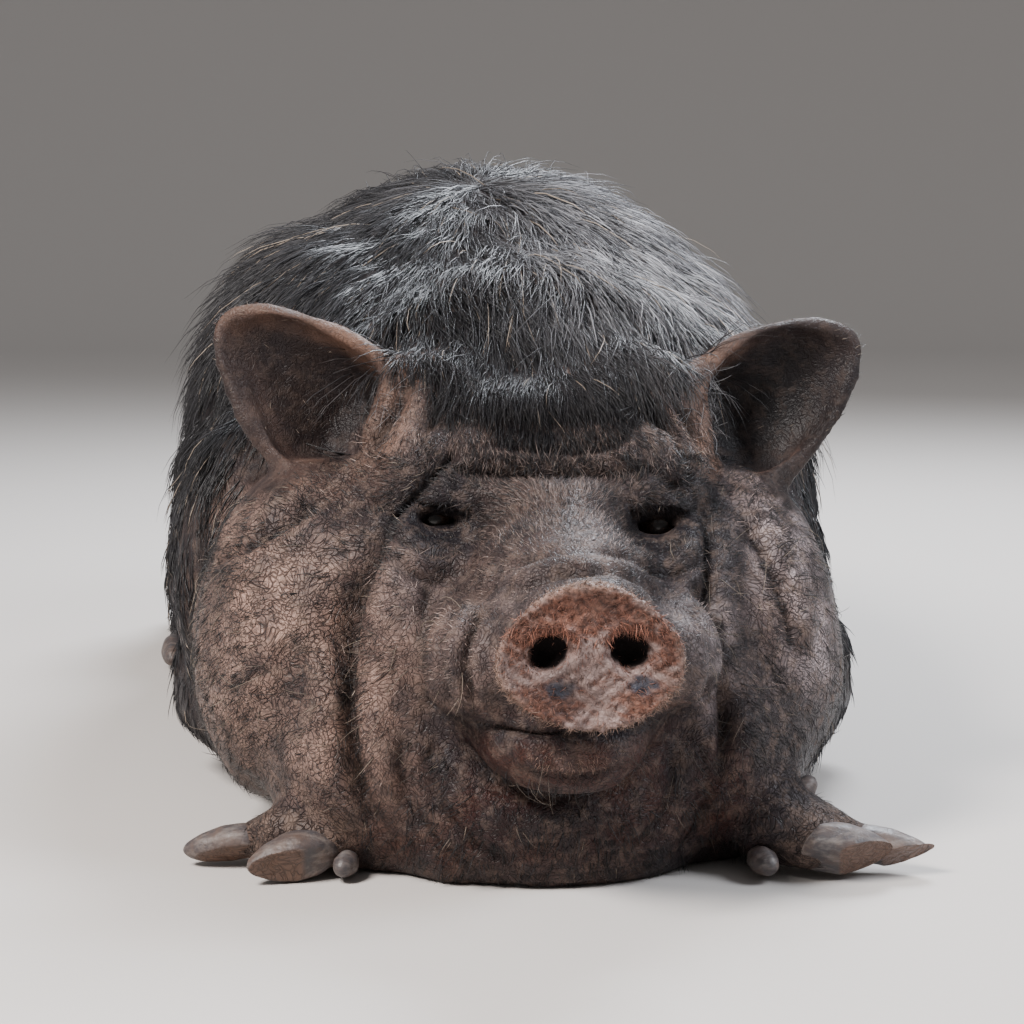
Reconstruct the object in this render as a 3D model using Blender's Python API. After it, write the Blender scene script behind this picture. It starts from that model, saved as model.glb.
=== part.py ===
"""A fat pot bellied pig lying on its belly, head low between its splayed forefeet.

The pig faces -Y, its left side is +X, and it lies on the floor at z = 0.
Lengths are in metres. The flesh is built from rounded masses, merged and smoothed,
then parted by thin cuts where a person would name its parts.
"""
import bpy
import bmesh
from math import cos, pi, radians, sin
from mathutils import Euler, Matrix, Vector

# Whole animal
BODY_HALF_WIDTH = 0.217
BACK_HEIGHT = 0.370
WIDEST_HEIGHT = 0.092
SNOUT_TIP_Y = -0.507
GAP = 0.0005
VOXEL = 0.0052

# Head
HEAD_CUT_Y = -0.222
NECK_CUT_Y = -0.125
DISC_HALF_WIDTH = 0.041
DISC_HALF_HEIGHT = 0.0300
DISC_HEIGHT = 0.1270
SNOUT_LENGTH = 0.030
NOSTRIL_SPACING = 0.033
EYE_RADIUS = 0.0122
EYE_PLACES = {"right": (-0.0610, -0.3590, 0.1712), "left": (0.0505, -0.3635, 0.1672)}

# Ears: half widths of the upper and the lower edge, depth of the cup
EAR_UPPER = 0.040
EAR_LOWER = 0.050
EAR_CUP = 0.036
EAR_THICKNESS = 0.0062

# Triangle budgets of the flesh pieces
HEAD_FACES = 1850
REAR_FACES = 980
FORELEG_FACES = 170
HIND_LEG_FACES = 200
TAIL_FACES = 120
CUTTER_FACES = 60

for thing in list(bpy.data.objects):
    bpy.data.objects.remove(thing, do_unlink=True)


def material(name, colour, roughness, metallic=0.0):
    made = bpy.data.materials.new(name)
    made.use_nodes = True
    shader = made.node_tree.nodes["Principled BSDF"]
    shader.inputs["Base Color"].default_value = (*colour, 1.0)
    shader.inputs["Roughness"].default_value = roughness
    shader.inputs["Metallic"].default_value = metallic
    return made


HIDE = (0.062, 0.055, 0.054)
BARE = (0.135, 0.098, 0.082)
HORN = (0.115, 0.105, 0.105)


def new_object(name, mesh, colour=HIDE, roughness=0.75):
    mesh.name = name
    made = bpy.data.objects.new(name, mesh)
    bpy.context.scene.collection.objects.link(made)
    mesh.materials.clear()
    mesh.materials.append(material(name, colour, roughness))
    mesh.shade_smooth()
    mesh.set_sharp_from_angle(angle=radians(40))
    return made


def hide_cutter(cutter):
    cutter.hide_render = True
    cutter.display_type = "WIRE"


def mesh_of(bm, name="scratch"):
    mesh = bpy.data.meshes.new(name)
    bmesh.ops.recalc_face_normals(bm, faces=bm.faces)
    bm.to_mesh(mesh)
    bm.free()
    return mesh


def settled(thing):
    """The mesh of an object with its modifiers applied; the object itself goes."""
    graph = bpy.context.evaluated_depsgraph_get()
    mesh = bpy.data.meshes.new_from_object(thing.evaluated_get(graph))
    bpy.data.objects.remove(thing, do_unlink=True)
    return mesh


def unit_ball():
    bm = bmesh.new()
    bmesh.ops.create_icosphere(bm, subdivisions=4, radius=1.0)
    mesh = bpy.data.meshes.new("ball")
    bm.to_mesh(mesh)
    bm.free()
    return mesh


BALL = unit_ball()


def add_ball(bm, centre, radii, below=None, turn=(0, 0, 0)):
    """An ellipsoid. With below, its lower half has another height."""
    first = len(bm.verts)
    bm.from_mesh(BALL)
    bm.verts.ensure_lookup_table()
    spin = Euler([radians(a) for a in turn])
    for vert in bm.verts[first:]:
        high = radii[2] if vert.co.z > 0 or below is None else below
        vert.co = Vector((vert.co.x * radii[0], vert.co.y * radii[1], vert.co.z * high))
        vert.co.rotate(spin)
        vert.co += Vector(centre)


def add_roll(bm, start, end, radius, end_radius=None, sag=(0, 0, 0), balls=12):
    """A roll of fat: a row of balls from start to end, bowed by sag in the middle."""
    end_radius = end_radius or radius
    for i in range(balls):
        t = i / (balls - 1)
        bow = 4 * t * (1 - t)
        centre = Vector(start).lerp(Vector(end), t) + bow * Vector(sag)
        size = radius + (end_radius - radius) * t
        add_ball(bm, centre, (size, size, size))


def add_limb(bm, knots):
    """Rolls joined end to end through knots of (point, radius)."""
    for (start, r0), (end, r1) in zip(knots, knots[1:]):
        add_roll(bm, start, end, r0, r1)


def merged(bm, voxel, rounds):
    """One smooth closed skin round all masses in bm."""
    blob = bpy.data.objects.new("blob", mesh_of(bm))
    bpy.context.scene.collection.objects.link(blob)
    remesh = blob.modifiers.new("merge", "REMESH")
    remesh.mode = "VOXEL"
    remesh.voxel_size = voxel
    smooth = blob.modifiers.new("soften", "SMOOTH")
    smooth.factor = 0.5
    smooth.iterations = rounds
    return settled(blob)


def thinned(mesh, faces):
    """The mesh reduced to about that many triangles."""
    blob = bpy.data.objects.new("blob", mesh)
    bpy.context.scene.collection.objects.link(blob)
    thin = blob.modifiers.new("thin", "DECIMATE")
    thin.ratio = min(1.0, faces / (2 * len(mesh.polygons)))
    thin.use_collapse_triangulate = True
    return settled(blob)


def sliced(mesh, cuts):
    """What is left of the mesh after cutting away the side each normal points to."""
    bm = bmesh.new()
    bm.from_mesh(mesh)
    for point, normal in cuts:
        whole = bm.verts[:] + bm.edges[:] + bm.faces[:]
        bmesh.ops.bisect_plane(
            bm, geom=whole, dist=1e-6, plane_co=point, plane_no=normal, clear_outer=True
        )
        rim = [edge for edge in bm.edges if edge.is_boundary]
        bmesh.ops.holes_fill(bm, edges=rim, sides=0)
    bmesh.ops.triangulate(bm, faces=[f for f in bm.faces if len(f.verts) > 4])
    return mesh_of(bm)


def swollen(mesh, amount):
    """A hidden copy, a little larger all round, for cutting room for its original."""
    bm = bmesh.new()
    bm.from_mesh(mesh)
    bm.normal_update()
    moves = [vert.normal * amount * vert.calc_shell_factor() for vert in bm.verts]
    for vert, move in zip(bm.verts, moves):
        vert.co += move
    cutter = bpy.data.objects.new("room", mesh_of(bm))
    bpy.context.scene.collection.objects.link(cutter)
    hide_cutter(cutter)
    return cutter


def cut(mesh, cutters, operation="DIFFERENCE"):
    """The mesh less its cutters, keeping its largest piece."""
    blob = bpy.data.objects.new("blob", mesh)
    bpy.context.scene.collection.objects.link(blob)
    for cutter in cutters:
        tool = blob.modifiers.new("cut", "BOOLEAN")
        tool.operation = operation
        tool.object = cutter
    mesh = settled(blob)
    bm = bmesh.new()
    bm.from_mesh(mesh)
    todo = set(bm.verts)
    islands = []
    while todo:
        island = {todo.pop()}
        edge_of = list(island)
        while edge_of:
            vert = edge_of.pop()
            for edge in vert.link_edges:
                other = edge.other_vert(vert)
                if other in todo:
                    todo.remove(other)
                    island.add(other)
                    edge_of.append(other)
        islands.append(island)
    islands.sort(key=len)
    for island in islands[:-1]:
        bmesh.ops.delete(bm, geom=list(island), context="VERTS")
    bmesh.ops.remove_doubles(bm, verts=bm.verts, dist=1e-5)
    return mesh_of(bm)


def add_trunk(bm):
    """The barrel, belly, shoulders and rump."""
    top = BACK_HEIGHT - WIDEST_HEIGHT
    add_ball(bm, (-0.006, 0.035, WIDEST_HEIGHT), (BODY_HALF_WIDTH, 0.385, top), 0.108)
    add_ball(bm, (0, 0.220, 0.098), (0.203, 0.246, 0.248), 0.110)
    add_ball(bm, (0, 0.010, 0.070), (0.208, 0.330, 0.150), 0.082)
    add_ball(bm, (-0.074, 0.000, 0.190), (0.132, 0.270, 0.152))
    add_ball(bm, (0.056, 0.000, 0.186), (0.122, 0.270, 0.150))
    add_ball(bm, (-0.110, -0.080, 0.150), (0.098, 0.140, 0.145))
    add_ball(bm, (0.100, -0.080, 0.146), (0.092, 0.140, 0.138))


def add_neck(bm):
    """The thick neck with its crest, and the shoulder rolls beside the jowls."""
    add_ball(bm, (0, -0.165, 0.155), (0.178, 0.160, 0.162), 0.165)
    add_ball(bm, (0, -0.175, 0.205), (0.120, 0.135, 0.116))
    add_ball(bm, (-0.126, -0.188, 0.122), (0.083, 0.112, 0.118), 0.114)
    add_ball(bm, (0.102, -0.205, 0.116), (0.072, 0.112, 0.098), 0.110)


def add_skull(bm):
    """Forehead, crown, brow rolls and cheekbones."""
    add_ball(bm, (-0.004, -0.262, 0.182), (0.100, 0.078, 0.092))
    add_ball(bm, (-0.004, -0.318, 0.146), (0.100, 0.080, 0.066))
    add_ball(bm, (-0.004, -0.318, 0.210), (0.064, 0.038, 0.030))
    for x, y, z in EYE_PLACES.values():
        lean = 14 if x > 0 else -14
        add_ball(bm, (x * 0.90, y + 0.011, z + 0.027), (0.036, 0.026, 0.0165), turn=(0, lean, 0))
        add_ball(bm, (x * 1.02, y + 0.014, z - 0.021), (0.036, 0.028, 0.019))
        add_roll(bm, (x * 0.98, -0.304, 0.238), (x * 1.36, -0.338, 0.172), 0.021, 0.024)
        add_roll(bm, (x * 1.50, -0.292, 0.176), (x * 1.85, -0.305, 0.140), 0.024, 0.029)
    add_roll(bm, (-0.054, -0.343, 0.205), (0.046, -0.343, 0.203), 0.0135, sag=(0, -0.008, -0.003))
    add_roll(bm, (-0.046, -0.334, 0.226), (0.040, -0.334, 0.226), 0.015, sag=(0, -0.006, 0))


def add_muzzle(bm):
    """The short muzzle, its lips, and the chin."""
    add_roll(bm, (-0.002, -0.365, 0.140), (0, -0.475, 0.1290), 0.055, 0.0290)
    add_ball(bm, (0, -0.458, 0.1265), (0.039, 0.050, 0.0285))
    for x in (-0.039, 0.035):
        add_ball(bm, (x, -0.424, 0.1125), (0.033, 0.047, 0.0295))
    add_ball(bm, (-0.003, -0.438, 0.078), (0.040, 0.046, 0.0245))
    add_ball(bm, (-0.003, -0.395, 0.076), (0.060, 0.060, 0.036))


def add_jowls(bm):
    """The cheeks and the heavy jowls that spread to the floor."""
    add_ball(bm, (-0.077, -0.358, 0.105), (0.034, 0.058, 0.080))
    add_ball(bm, (0.064, -0.362, 0.103), (0.034, 0.058, 0.078))
    add_ball(bm, (-0.128, -0.300, 0.108), (0.056, 0.090, 0.090), turn=(0, 8, 0))
    add_ball(bm, (0.104, -0.308, 0.106), (0.0505, 0.088, 0.088), turn=(0, -8, 0))
    add_ball(bm, (-0.082, -0.340, 0.066), (0.068, 0.082, 0.072), 0.080)
    add_ball(bm, (0.066, -0.340, 0.066), (0.066, 0.082, 0.072), 0.080)
    add_ball(bm, (-0.008, -0.340, 0.045), (0.110, 0.100, 0.060), 0.080)
    add_ball(bm, (-0.008, -0.392, 0.050), (0.052, 0.042, 0.036))


# Forelegs run forward under the jowls and turn outward at the foot, soles to the front.
FORELEGS = {
    "right": (
        ((-0.158, -0.165, 0.062), 0.052),
        ((-0.122, -0.270, 0.042), 0.038),
        ((-0.104, -0.340, 0.032), 0.029),
        ((-0.112, -0.378, 0.024), 0.0225),
        ((-0.137, -0.382, 0.0175), 0.0160),
    ),
    "left": (
        ((0.152, -0.170, 0.062), 0.052),
        ((0.114, -0.280, 0.042), 0.038),
        ((0.094, -0.352, 0.034), 0.030),
        ((0.104, -0.398, 0.026), 0.0240),
        ((0.130, -0.404, 0.0185), 0.0165),
    ),
}

# A hind leg is folded beside the belly: thigh, stifle, hock, then the foot forward.
THIGH_PLACE, THIGH_RADII = (0.158, 0.285, 0.118), (0.066, 0.128, 0.108)
HIND_FOOT = (
    ((0.186, 0.195, 0.088), 0.044),
    ((0.190, 0.385, 0.052), 0.036),
    ((0.203, 0.310, 0.030), 0.0245),
    ((0.211, 0.240, 0.024), 0.0205),
    ((0.214, 0.200, 0.018), 0.0160),
)

# Claws as foot and name, then root, tip, way the sole faces, width and depth
FRONT_CLAWS = (
    ("front_right", "inner",
     (-0.110, -0.393, 0.0160), (-0.153, -0.412, 0.0085), (0.10, -0.92, -0.38), 0.028, 0.030),
    ("front_right", "outer",
     (-0.143, -0.374, 0.0155), (-0.187, -0.369, 0.0060), (0.02, -0.66, -0.75), 0.023, 0.023),
    ("front_left", "inner",
     (0.110, -0.416, 0.0175), (0.157, -0.432, 0.0130), (0.22, -0.80, -0.55), 0.030, 0.031),
    ("front_left", "outer",
     (0.135, -0.404, 0.0165), (0.181, -0.423, 0.0080), (0.16, -0.66, -0.74), 0.024, 0.024),
)
HIND_CLAW_ROOT, HIND_CLAW_TIP = (0.214, 0.199, 0.0150), (0.214, 0.154, 0.0075)
DEWCLAWS = (
    ("front_right", "inner", (-0.1065, -0.402, 0.0085), (-0.3, -0.9, -0.1), 0.0078),
    ("front_right", "outer", (-0.126, -0.362, 0.0330), (-0.6, 0.2, 0.7), 0.0072),
    ("front_left", "inner", (0.0950, -0.420, 0.0100), (0.3, -0.9, -0.1), 0.0085),
    ("front_left", "outer", (0.121, -0.389, 0.0370), (0.6, 0.2, 0.7), 0.0075),
)


def claw_mesh(root, tip, sole_way, width, depth):
    """A horn claw: a tapered rounded wedge with a flat sole, from root to tip."""
    root, tip = Vector(root), Vector(tip)
    ahead = (tip - root).normalized()
    length = (tip - root).length
    down = Vector(sole_way).normalized()
    down = (down - down.dot(ahead) * ahead).normalized()
    aside = ahead.cross(down)
    bm = bmesh.new()
    bmesh.ops.create_uvsphere(bm, u_segments=9, v_segments=6, radius=0.5)
    bmesh.ops.rotate(bm, verts=bm.verts, matrix=Matrix.Rotation(pi / 2, 3, "Y"))
    for vert in bm.verts:
        t = vert.co.x + 0.5
        taper = 1.0 - 0.42 * t ** 1.6
        vert.co.y *= taper
        vert.co.z = vert.co.z * taper + 0.10 * t * t
    sole = ((0, 0, -0.22), (0.10, 0, -1))
    frame = Matrix((ahead * length, aside * width, -down * depth)).transposed()
    mesh = sliced(mesh_of(bm), [sole])
    mesh.transform(Matrix.Translation(root.lerp(tip, 0.5)) @ frame.to_4x4())
    return mesh


def dewclaw_mesh(centre, ahead, radius):
    """A small blunt horn behind the foot."""
    bm = bmesh.new()
    bmesh.ops.create_uvsphere(bm, u_segments=6, v_segments=4, radius=radius)
    for vert in bm.verts:
        along = vert.co.z / radius
        taper = 1.0 - 0.12 * (along + 1)
        vert.co = Vector((vert.co.x * taper, vert.co.y * taper, 1.25 * vert.co.z))
    turn = Vector(ahead).to_track_quat("Z", "Y").to_matrix().to_4x4()
    mesh = mesh_of(bm)
    mesh.transform(Matrix.Translation(centre) @ turn)
    return mesh


def ear_mesh(root, tip, facing):
    """A cupped leaf: root to tip along one axis, its hollow side facing out."""
    root, tip, facing = Vector(root), Vector(tip), Vector(facing).normalized()
    ahead = (tip - root).normalized()
    length = (tip - root).length
    facing = (facing - facing.dot(ahead) * ahead).normalized()
    rise = ahead.cross(facing)
    if rise.z < 0:
        rise = -rise
    bm = bmesh.new()
    rows, columns = 9, 9
    grid = []
    for i in range(rows):
        u = -0.22 + 1.205 * i / (rows - 1)
        t = max(u, 0.0)
        upper = EAR_UPPER * (1 - t ** 2.2) ** 0.5 * (1 + 0.8 * min(u, 0))
        lower = EAR_LOWER * (1 - t ** 1.7) ** 0.75 * (1 + 0.8 * min(u, 0))
        cup = EAR_CUP * (1 - t) ** 0.75 + 0.004
        row = []
        for j in range(columns):
            v = -1 + 2 * j / (columns - 1)
            across = (upper if v > 0 else lower) * sin(v * pi / 2)
            back = cup * cos(v * pi / 2) ** 1.3 - 0.010 * t
            row.append(bm.verts.new(root + ahead * length * u + rise * across - facing * back))
        grid.append(row)
    for below, above in zip(grid, grid[1:]):
        for a, b, c, d in zip(below, below[1:], above[1:], above):
            bm.faces.new((a, b, c, d))
    bmesh.ops.recalc_face_normals(bm, faces=bm.faces)
    bmesh.ops.solidify(bm, geom=bm.faces[:], thickness=EAR_THICKNESS)
    bmesh.ops.triangulate(bm, faces=bm.faces)
    return mesh_of(bm)


def snout_mesh():
    """The flat oval disc that ends the snout, with its rim, on a short round neck."""
    sides = 22
    rings = ((SNOUT_LENGTH, 0.84), (0.020, 0.86), (0.012, 0.92), (0.006, 0.99), (0.0025, 1.0),
             (0.0003, 0.965), (0.0, 0.91), (0.0018, 0.80), (0.0014, 0.45))
    bm = bmesh.new()
    loops = []
    for back, size in rings:
        loop = []
        for k in range(sides):
            a = 2 * pi * k / sides
            rise = sin(a)
            wide = DISC_HALF_WIDTH * size * cos(a) * (1 - 0.12 * rise)
            high = DISC_HALF_HEIGHT * size * rise * (1 - 0.06 * cos(2 * a))
            loop.append(bm.verts.new((wide, SNOUT_TIP_Y + back, DISC_HEIGHT + high)))
        loops.append(loop)
    for below, above in zip(loops, loops[1:]):
        for k in range(sides):
            m = (k + 1) % sides
            bm.faces.new((below[k], below[m], above[m], above[k]))
    for loop in (loops[0], loops[-1]):
        bmesh.ops.triangulate(bm, faces=[bm.faces.new(loop)])
    bmesh.ops.triangulate(bm, faces=bm.faces)
    return mesh_of(bm)


def scratch_object(mesh):
    made = bpy.data.objects.new("scratch", mesh)
    bpy.context.scene.collection.objects.link(made)
    hide_cutter(made)
    return made


def mirrored(mesh):
    """The mesh on the other side of the animal's middle plane."""
    copy = mesh.copy()
    copy.transform(Matrix.Scale(-1, 4, (1, 0, 0)))
    copy.flip_normals()
    return copy


FLOOR = ((0, 0, 0), (0, 0, -1))


def build_claws():
    """Every claw as name and mesh."""
    made = []
    rooms = []
    for foot, name, root, tip, sole, width, depth in FRONT_CLAWS:
        shape = cut(claw_mesh(root, tip, sole, width, depth), rooms)
        rooms.append(swollen(shape, GAP))
        made.append((foot, "claw_" + foot + "_" + name, shape))
    for foot, name, centre, ahead, radius in DEWCLAWS:
        shape = cut(dewclaw_mesh(centre, ahead, radius), rooms)
        made.append((foot, "dewclaw_" + foot + "_" + name, shape))
    for name, shift in (("inner", -0.0112), ("outer", 0.0112)):
        root, tip = Vector(HIND_CLAW_ROOT), Vector(HIND_CLAW_TIP)
        root.x += shift
        tip.x += shift
        left = claw_mesh(root, tip, (0, 0, -1), 0.0205, 0.026)
        dew = dewclaw_mesh((0.213 + 1.05 * shift, 0.268, 0.012), (0, 0.4, -0.9), 0.0072)
        for foot, shape in (("hind_left", left), ("hind_right", mirrored(left))):
            made.append((foot, "claw_" + foot + "_" + name, shape))
        for foot, shape in (("hind_left", dew), ("hind_right", mirrored(dew))):
            made.append((foot, "dewclaw_" + foot + "_" + name, shape))
    return made


def build_leg_masses():
    legs = {}
    for side, knots in FORELEGS.items():
        bm = bmesh.new()
        add_limb(bm, knots)
        legs["front_" + side] = thinned(merged(bm, 0.004, 4), FORELEG_FACES)
    bm = bmesh.new()
    add_ball(bm, THIGH_PLACE, THIGH_RADII, turn=(0, 0, 4))
    add_limb(bm, HIND_FOOT)
    legs["hind_left"] = thinned(merged(bm, 0.005, 5), HIND_LEG_FACES)
    legs["hind_right"] = mirrored(legs["hind_left"])
    return legs


def build_tail_mass():
    """The straight tail with its brush, hanging down the rump to one side."""
    bm = bmesh.new()
    add_limb(bm, (
        ((0.000, 0.440, 0.212), 0.0190),
        ((0.006, 0.4835, 0.193), 0.0135),
        ((0.016, 0.4960, 0.140), 0.0100),
        ((0.026, 0.4940, 0.085), 0.0085),
        ((0.032, 0.4950, 0.062), 0.0120),
        ((0.038, 0.4970, 0.036), 0.0085),
        ((0.041, 0.4990, 0.016), 0.0040),
    ))
    return thinned(merged(bm, 0.0035, 3), TAIL_FACES)


def build_body_mass():
    whole = bmesh.new()
    add_trunk(whole)
    add_neck(whole)
    add_skull(whole)
    add_muzzle(whole)
    add_jowls(whole)
    return merged(whole, VOXEL, 5)


def build():
    claws = build_claws()
    legs = build_leg_masses()
    tail = build_tail_mass()
    dense = build_body_mass()
    leg_rooms = {name: swollen(mesh, GAP) for name, mesh in legs.items()}
    tail_room = swollen(tail, GAP)
    claw_rooms = {}
    for foot, name, mesh in claws:
        claw_rooms.setdefault(foot, []).append(swollen(mesh, GAP))
        new_object(name, sliced(mesh, [FLOOR]), HORN, 0.5)

    for foot, mesh in legs.items():
        shape = cut(sliced(mesh, [FLOOR]), claw_rooms[foot])
        new_object("leg_" + foot, shape)
    new_object("tail", sliced(tail, [FLOOR]))

    margin = 0.012
    behind_head = ((0, HEAD_CUT_Y, 0), (0, 1, 0))
    head = thinned(sliced(dense, [((0, HEAD_CUT_Y + margin, 0), (0, 1, 0))]), HEAD_FACES)
    rear = thinned(sliced(dense, [((0, HEAD_CUT_Y - margin, 0), (0, -1, 0))]), REAR_FACES)
    snout_end = SNOUT_TIP_Y + SNOUT_LENGTH + GAP
    head = sliced(head, [behind_head, ((0, snout_end, 0), (0, -1, 0)), FLOOR])
    neck = sliced(rear, [((0, HEAD_CUT_Y + GAP, 0), (0, -1, 0)), ((0, NECK_CUT_Y, 0), (0, 1, 0)), FLOOR])
    trunk = sliced(rear, [((0, NECK_CUT_Y + GAP, 0), (0, -1, 0)), FLOOR])

    front_rooms = [leg_rooms["front_right"], leg_rooms["front_left"]]
    front_claws = claw_rooms["front_right"] + claw_rooms["front_left"]
    hind_rooms = [leg_rooms["hind_right"], leg_rooms["hind_left"]]
    chin = bmesh.new()
    add_ball(chin, (-0.003, -0.452, 0.072), (0.050, 0.062, 0.032))
    chin = sliced(thinned(mesh_of(chin), 2 * CUTTER_FACES), [((0, 0, 0.0880), (0, 0, 1))])
    jaw = cut(head.copy(), [scratch_object(chin)], "INTERSECT")
    jaw_room = swollen(chin, GAP)
    sockets = []
    for side, place in EYE_PLACES.items():
        ball = bmesh.new()
        bmesh.ops.create_icosphere(ball, subdivisions=2, radius=EYE_RADIUS)
        bmesh.ops.translate(ball, verts=ball.verts, vec=place)
        eye = mesh_of(ball)
        sockets.append(swollen(eye, GAP))
        new_object("eye_" + side, eye, (0.02, 0.015, 0.012), 0.15)
        slit = bmesh.new()
        tilt = 10 if place[0] > 0 else -10
        add_ball(slit, (place[0], place[1] - 0.012, place[2]), (0.0135, 0.016, 0.0052), turn=(0, tilt, 0))
        sockets.append(scratch_object(thinned(mesh_of(slit), CUTTER_FACES)))
    head = cut(head, front_rooms + front_claws + [jaw_room] + sockets)
    new_object("head", head)
    new_object("lower_jaw", jaw)
    new_object("neck", cut(neck, front_rooms))
    new_object("trunk", cut(trunk, front_rooms + hind_rooms + [tail_room]))

    nostrils = []
    for way in (-1, 1):
        bm = bmesh.new()
        place = (way * NOSTRIL_SPACING / 2, SNOUT_TIP_Y, DISC_HEIGHT + 0.0015)
        add_ball(bm, place, (0.0082, 0.020, 0.0066), turn=(0, 14 * way, 0))
        nostrils.append(scratch_object(thinned(mesh_of(bm), CUTTER_FACES)))
    new_object("snout", cut(snout_mesh(), nostrils), BARE, 0.6)

    head_room = swollen(head, GAP)
    neck_room = swollen(bpy.data.objects["neck"].data, GAP)
    ears = {
        "right": ((-0.090, -0.306, 0.208), (-0.1740, -0.282, 0.270), (-0.18, -0.95, 0.26)),
        "left": ((0.082, -0.309, 0.207), (0.1700, -0.298, 0.258), (0.22, -0.94, 0.26)),
    }
    for side, (root, tip, facing) in ears.items():
        new_object("ear_" + side, cut(ear_mesh(root, tip, facing), [head_room, neck_room]), BARE)


build()
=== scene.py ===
"""A very fat black pot bellied pig, lying on its belly with its head low and its forefeet out."""

from math import cos, pi, radians, sin

import bmesh
import bpy
import numpy as np
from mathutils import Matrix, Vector
from mathutils.kdtree import KDTree


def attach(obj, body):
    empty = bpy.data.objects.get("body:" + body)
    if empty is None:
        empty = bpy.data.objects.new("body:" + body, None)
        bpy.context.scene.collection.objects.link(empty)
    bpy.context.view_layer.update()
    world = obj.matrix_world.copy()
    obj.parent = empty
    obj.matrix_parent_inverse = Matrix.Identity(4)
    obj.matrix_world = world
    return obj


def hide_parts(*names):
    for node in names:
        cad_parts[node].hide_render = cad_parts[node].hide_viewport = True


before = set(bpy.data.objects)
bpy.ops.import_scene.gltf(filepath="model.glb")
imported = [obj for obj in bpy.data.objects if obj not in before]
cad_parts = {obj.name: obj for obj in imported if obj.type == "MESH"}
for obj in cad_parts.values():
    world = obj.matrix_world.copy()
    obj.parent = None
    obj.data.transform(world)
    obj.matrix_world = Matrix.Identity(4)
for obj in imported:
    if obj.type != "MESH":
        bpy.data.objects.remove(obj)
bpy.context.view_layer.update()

# Skin: one closed hide over all the flesh, with no seam between head, neck, trunk, legs,
# ears and tail. It lies deeper than the solids by the thickness of the coat, and the rolls of
# fat, lids, mouth and wrinkles are pressed into it.
FLESH = (
    "head", "lower_jaw", "snout", "neck", "trunk", "tail", "ear_left", "ear_right",
    "leg_front_left", "leg_front_right", "leg_hind_left", "leg_hind_right",
)
SKIN_VOXEL = 0.0026
SEAM_GROWTH = 0.0007
EAR_GROWTH = 0.0006
SKIN_FACES = 138000
SOFTENING = 12
CROWN_SOFTENING = 90
LUMP_HEIGHT = 0.0011
FLOOR_GAP = 0.0003
RIGHT_EYE = (-0.0610, -0.3700, 0.1712)
LEFT_EYE = (0.0505, -0.3745, 0.1672)
EAR_MIDDLES = ((-0.135, -0.290, 0.235), (0.130, -0.300, 0.230))
SNOUT_MIDDLE = (0.0, -0.507, 0.127)


def merged_copy(name):
    """A node's solid as a bmesh, its doubled corners merged."""
    bm = bmesh.new()
    bm.from_mesh(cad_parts[name].data)
    bmesh.ops.remove_doubles(bm, verts=bm.verts, dist=1e-5)
    bmesh.ops.recalc_face_normals(bm, faces=bm.faces)
    bm.normal_update()
    return bm


def flesh_copy(nodes):
    """The nodes' meshes in one, each grown a little so that they run into each other."""
    whole = bmesh.new()
    for name in nodes:
        bm = merged_copy(name)
        growth = SEAM_GROWTH + (EAR_GROWTH if name.startswith("ear") else 0.0)
        moves = [vert.normal * growth for vert in bm.verts]
        for vert, move in zip(bm.verts, moves):
            vert.co += move
        part = bpy.data.meshes.new(name + "_copy")
        bm.to_mesh(part)
        bm.free()
        whole.from_mesh(part)
        bpy.data.meshes.remove(part)
    return whole


# Fleshy rims of the ears and the two toes above each claw, as paths of balls and their radii.
EAR_RIMS = (
    (((.162, -.304, .256), (.150, -.307, .264), (.130, -.308, .267), (.108, -.309, .262),
      (.090, -.310, .250), (.080, -.316, .236), (.077, -.330, .216), (.078, -.340, .198)),
     (.0026, .0032, .0040, .0050, .0062, .0072, .0074, .0070)),
    (((.162, -.304, .252), (.154, -.304, .236), (.147, -.306, .218), (.134, -.311, .200),
      (.116, -.321, .188), (.097, -.338, .181)),
     (.0020, .0021, .0022, .0026, .0040, .0050)),
    (((-.166, -.289, .268), (-.146, -.295, .274), (-.123, -.298, .269), (-.101, -.301, .260),
      (-.085, -.305, .250), (-.078, -.314, .238), (-.081, -.326, .222), (-.092, -.331, .204)),
     (.0028, .0038, .0048, .0060, .0072, .0078, .0074, .0062)),
    (((-.164, -.289, .262), (-.158, -.291, .242), (-.151, -.297, .222), (-.142, -.306, .203),
      (-.128, -.320, .190), (-.112, -.334, .186), (-.100, -.332, .194)),
     (.0020, .0021, .0022, .0028, .0050, .0064, .0066)),
)
TOES = (
    (((-.108, -.378, .020), (-.118, -.391, .0165), (-.128, -.398, .0140)), (.0150, .0140, .0122)),
    (((-.130, -.370, .019), (-.143, -.372, .0155), (-.157, -.369, .0120)), (.0140, .0118, .0092)),
    (((.106, -.400, .022), (.118, -.414, .0185), (.128, -.419, .0160)), (.0155, .0145, .0128)),
    (((.128, -.397, .021), (.140, -.403, .0170), (.152, -.408, .0140)), (.0140, .0120, .0096)),
)


def add_tube(bm, path, radii):
    """Balls close together along a path, which the remesh turns into one roll of flesh."""
    knots = np.array(path, dtype=float)
    thick = np.array(radii)
    small = bmesh.new()
    bmesh.ops.create_icosphere(small, subdivisions=2, radius=1.0)
    unit_mesh = bpy.data.meshes.new("unit")
    small.to_mesh(unit_mesh)
    small.free()
    round_points = numbers(unit_mesh.vertices, "co", 3)
    for k in range(len(knots) - 1):
        steps = max(2, int(np.linalg.norm(knots[k + 1] - knots[k]) / (0.4 * thick[k])))
        for part in np.arange(steps) / steps:
            centre = knots[k] + part * (knots[k + 1] - knots[k])
            radius = thick[k] + part * (thick[k + 1] - thick[k])
            placed = unit_mesh.copy()
            put_points(placed, round_points * radius + centre)
            bm.from_mesh(placed)
            bpy.data.meshes.remove(placed)
    bpy.data.meshes.remove(unit_mesh)


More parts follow.
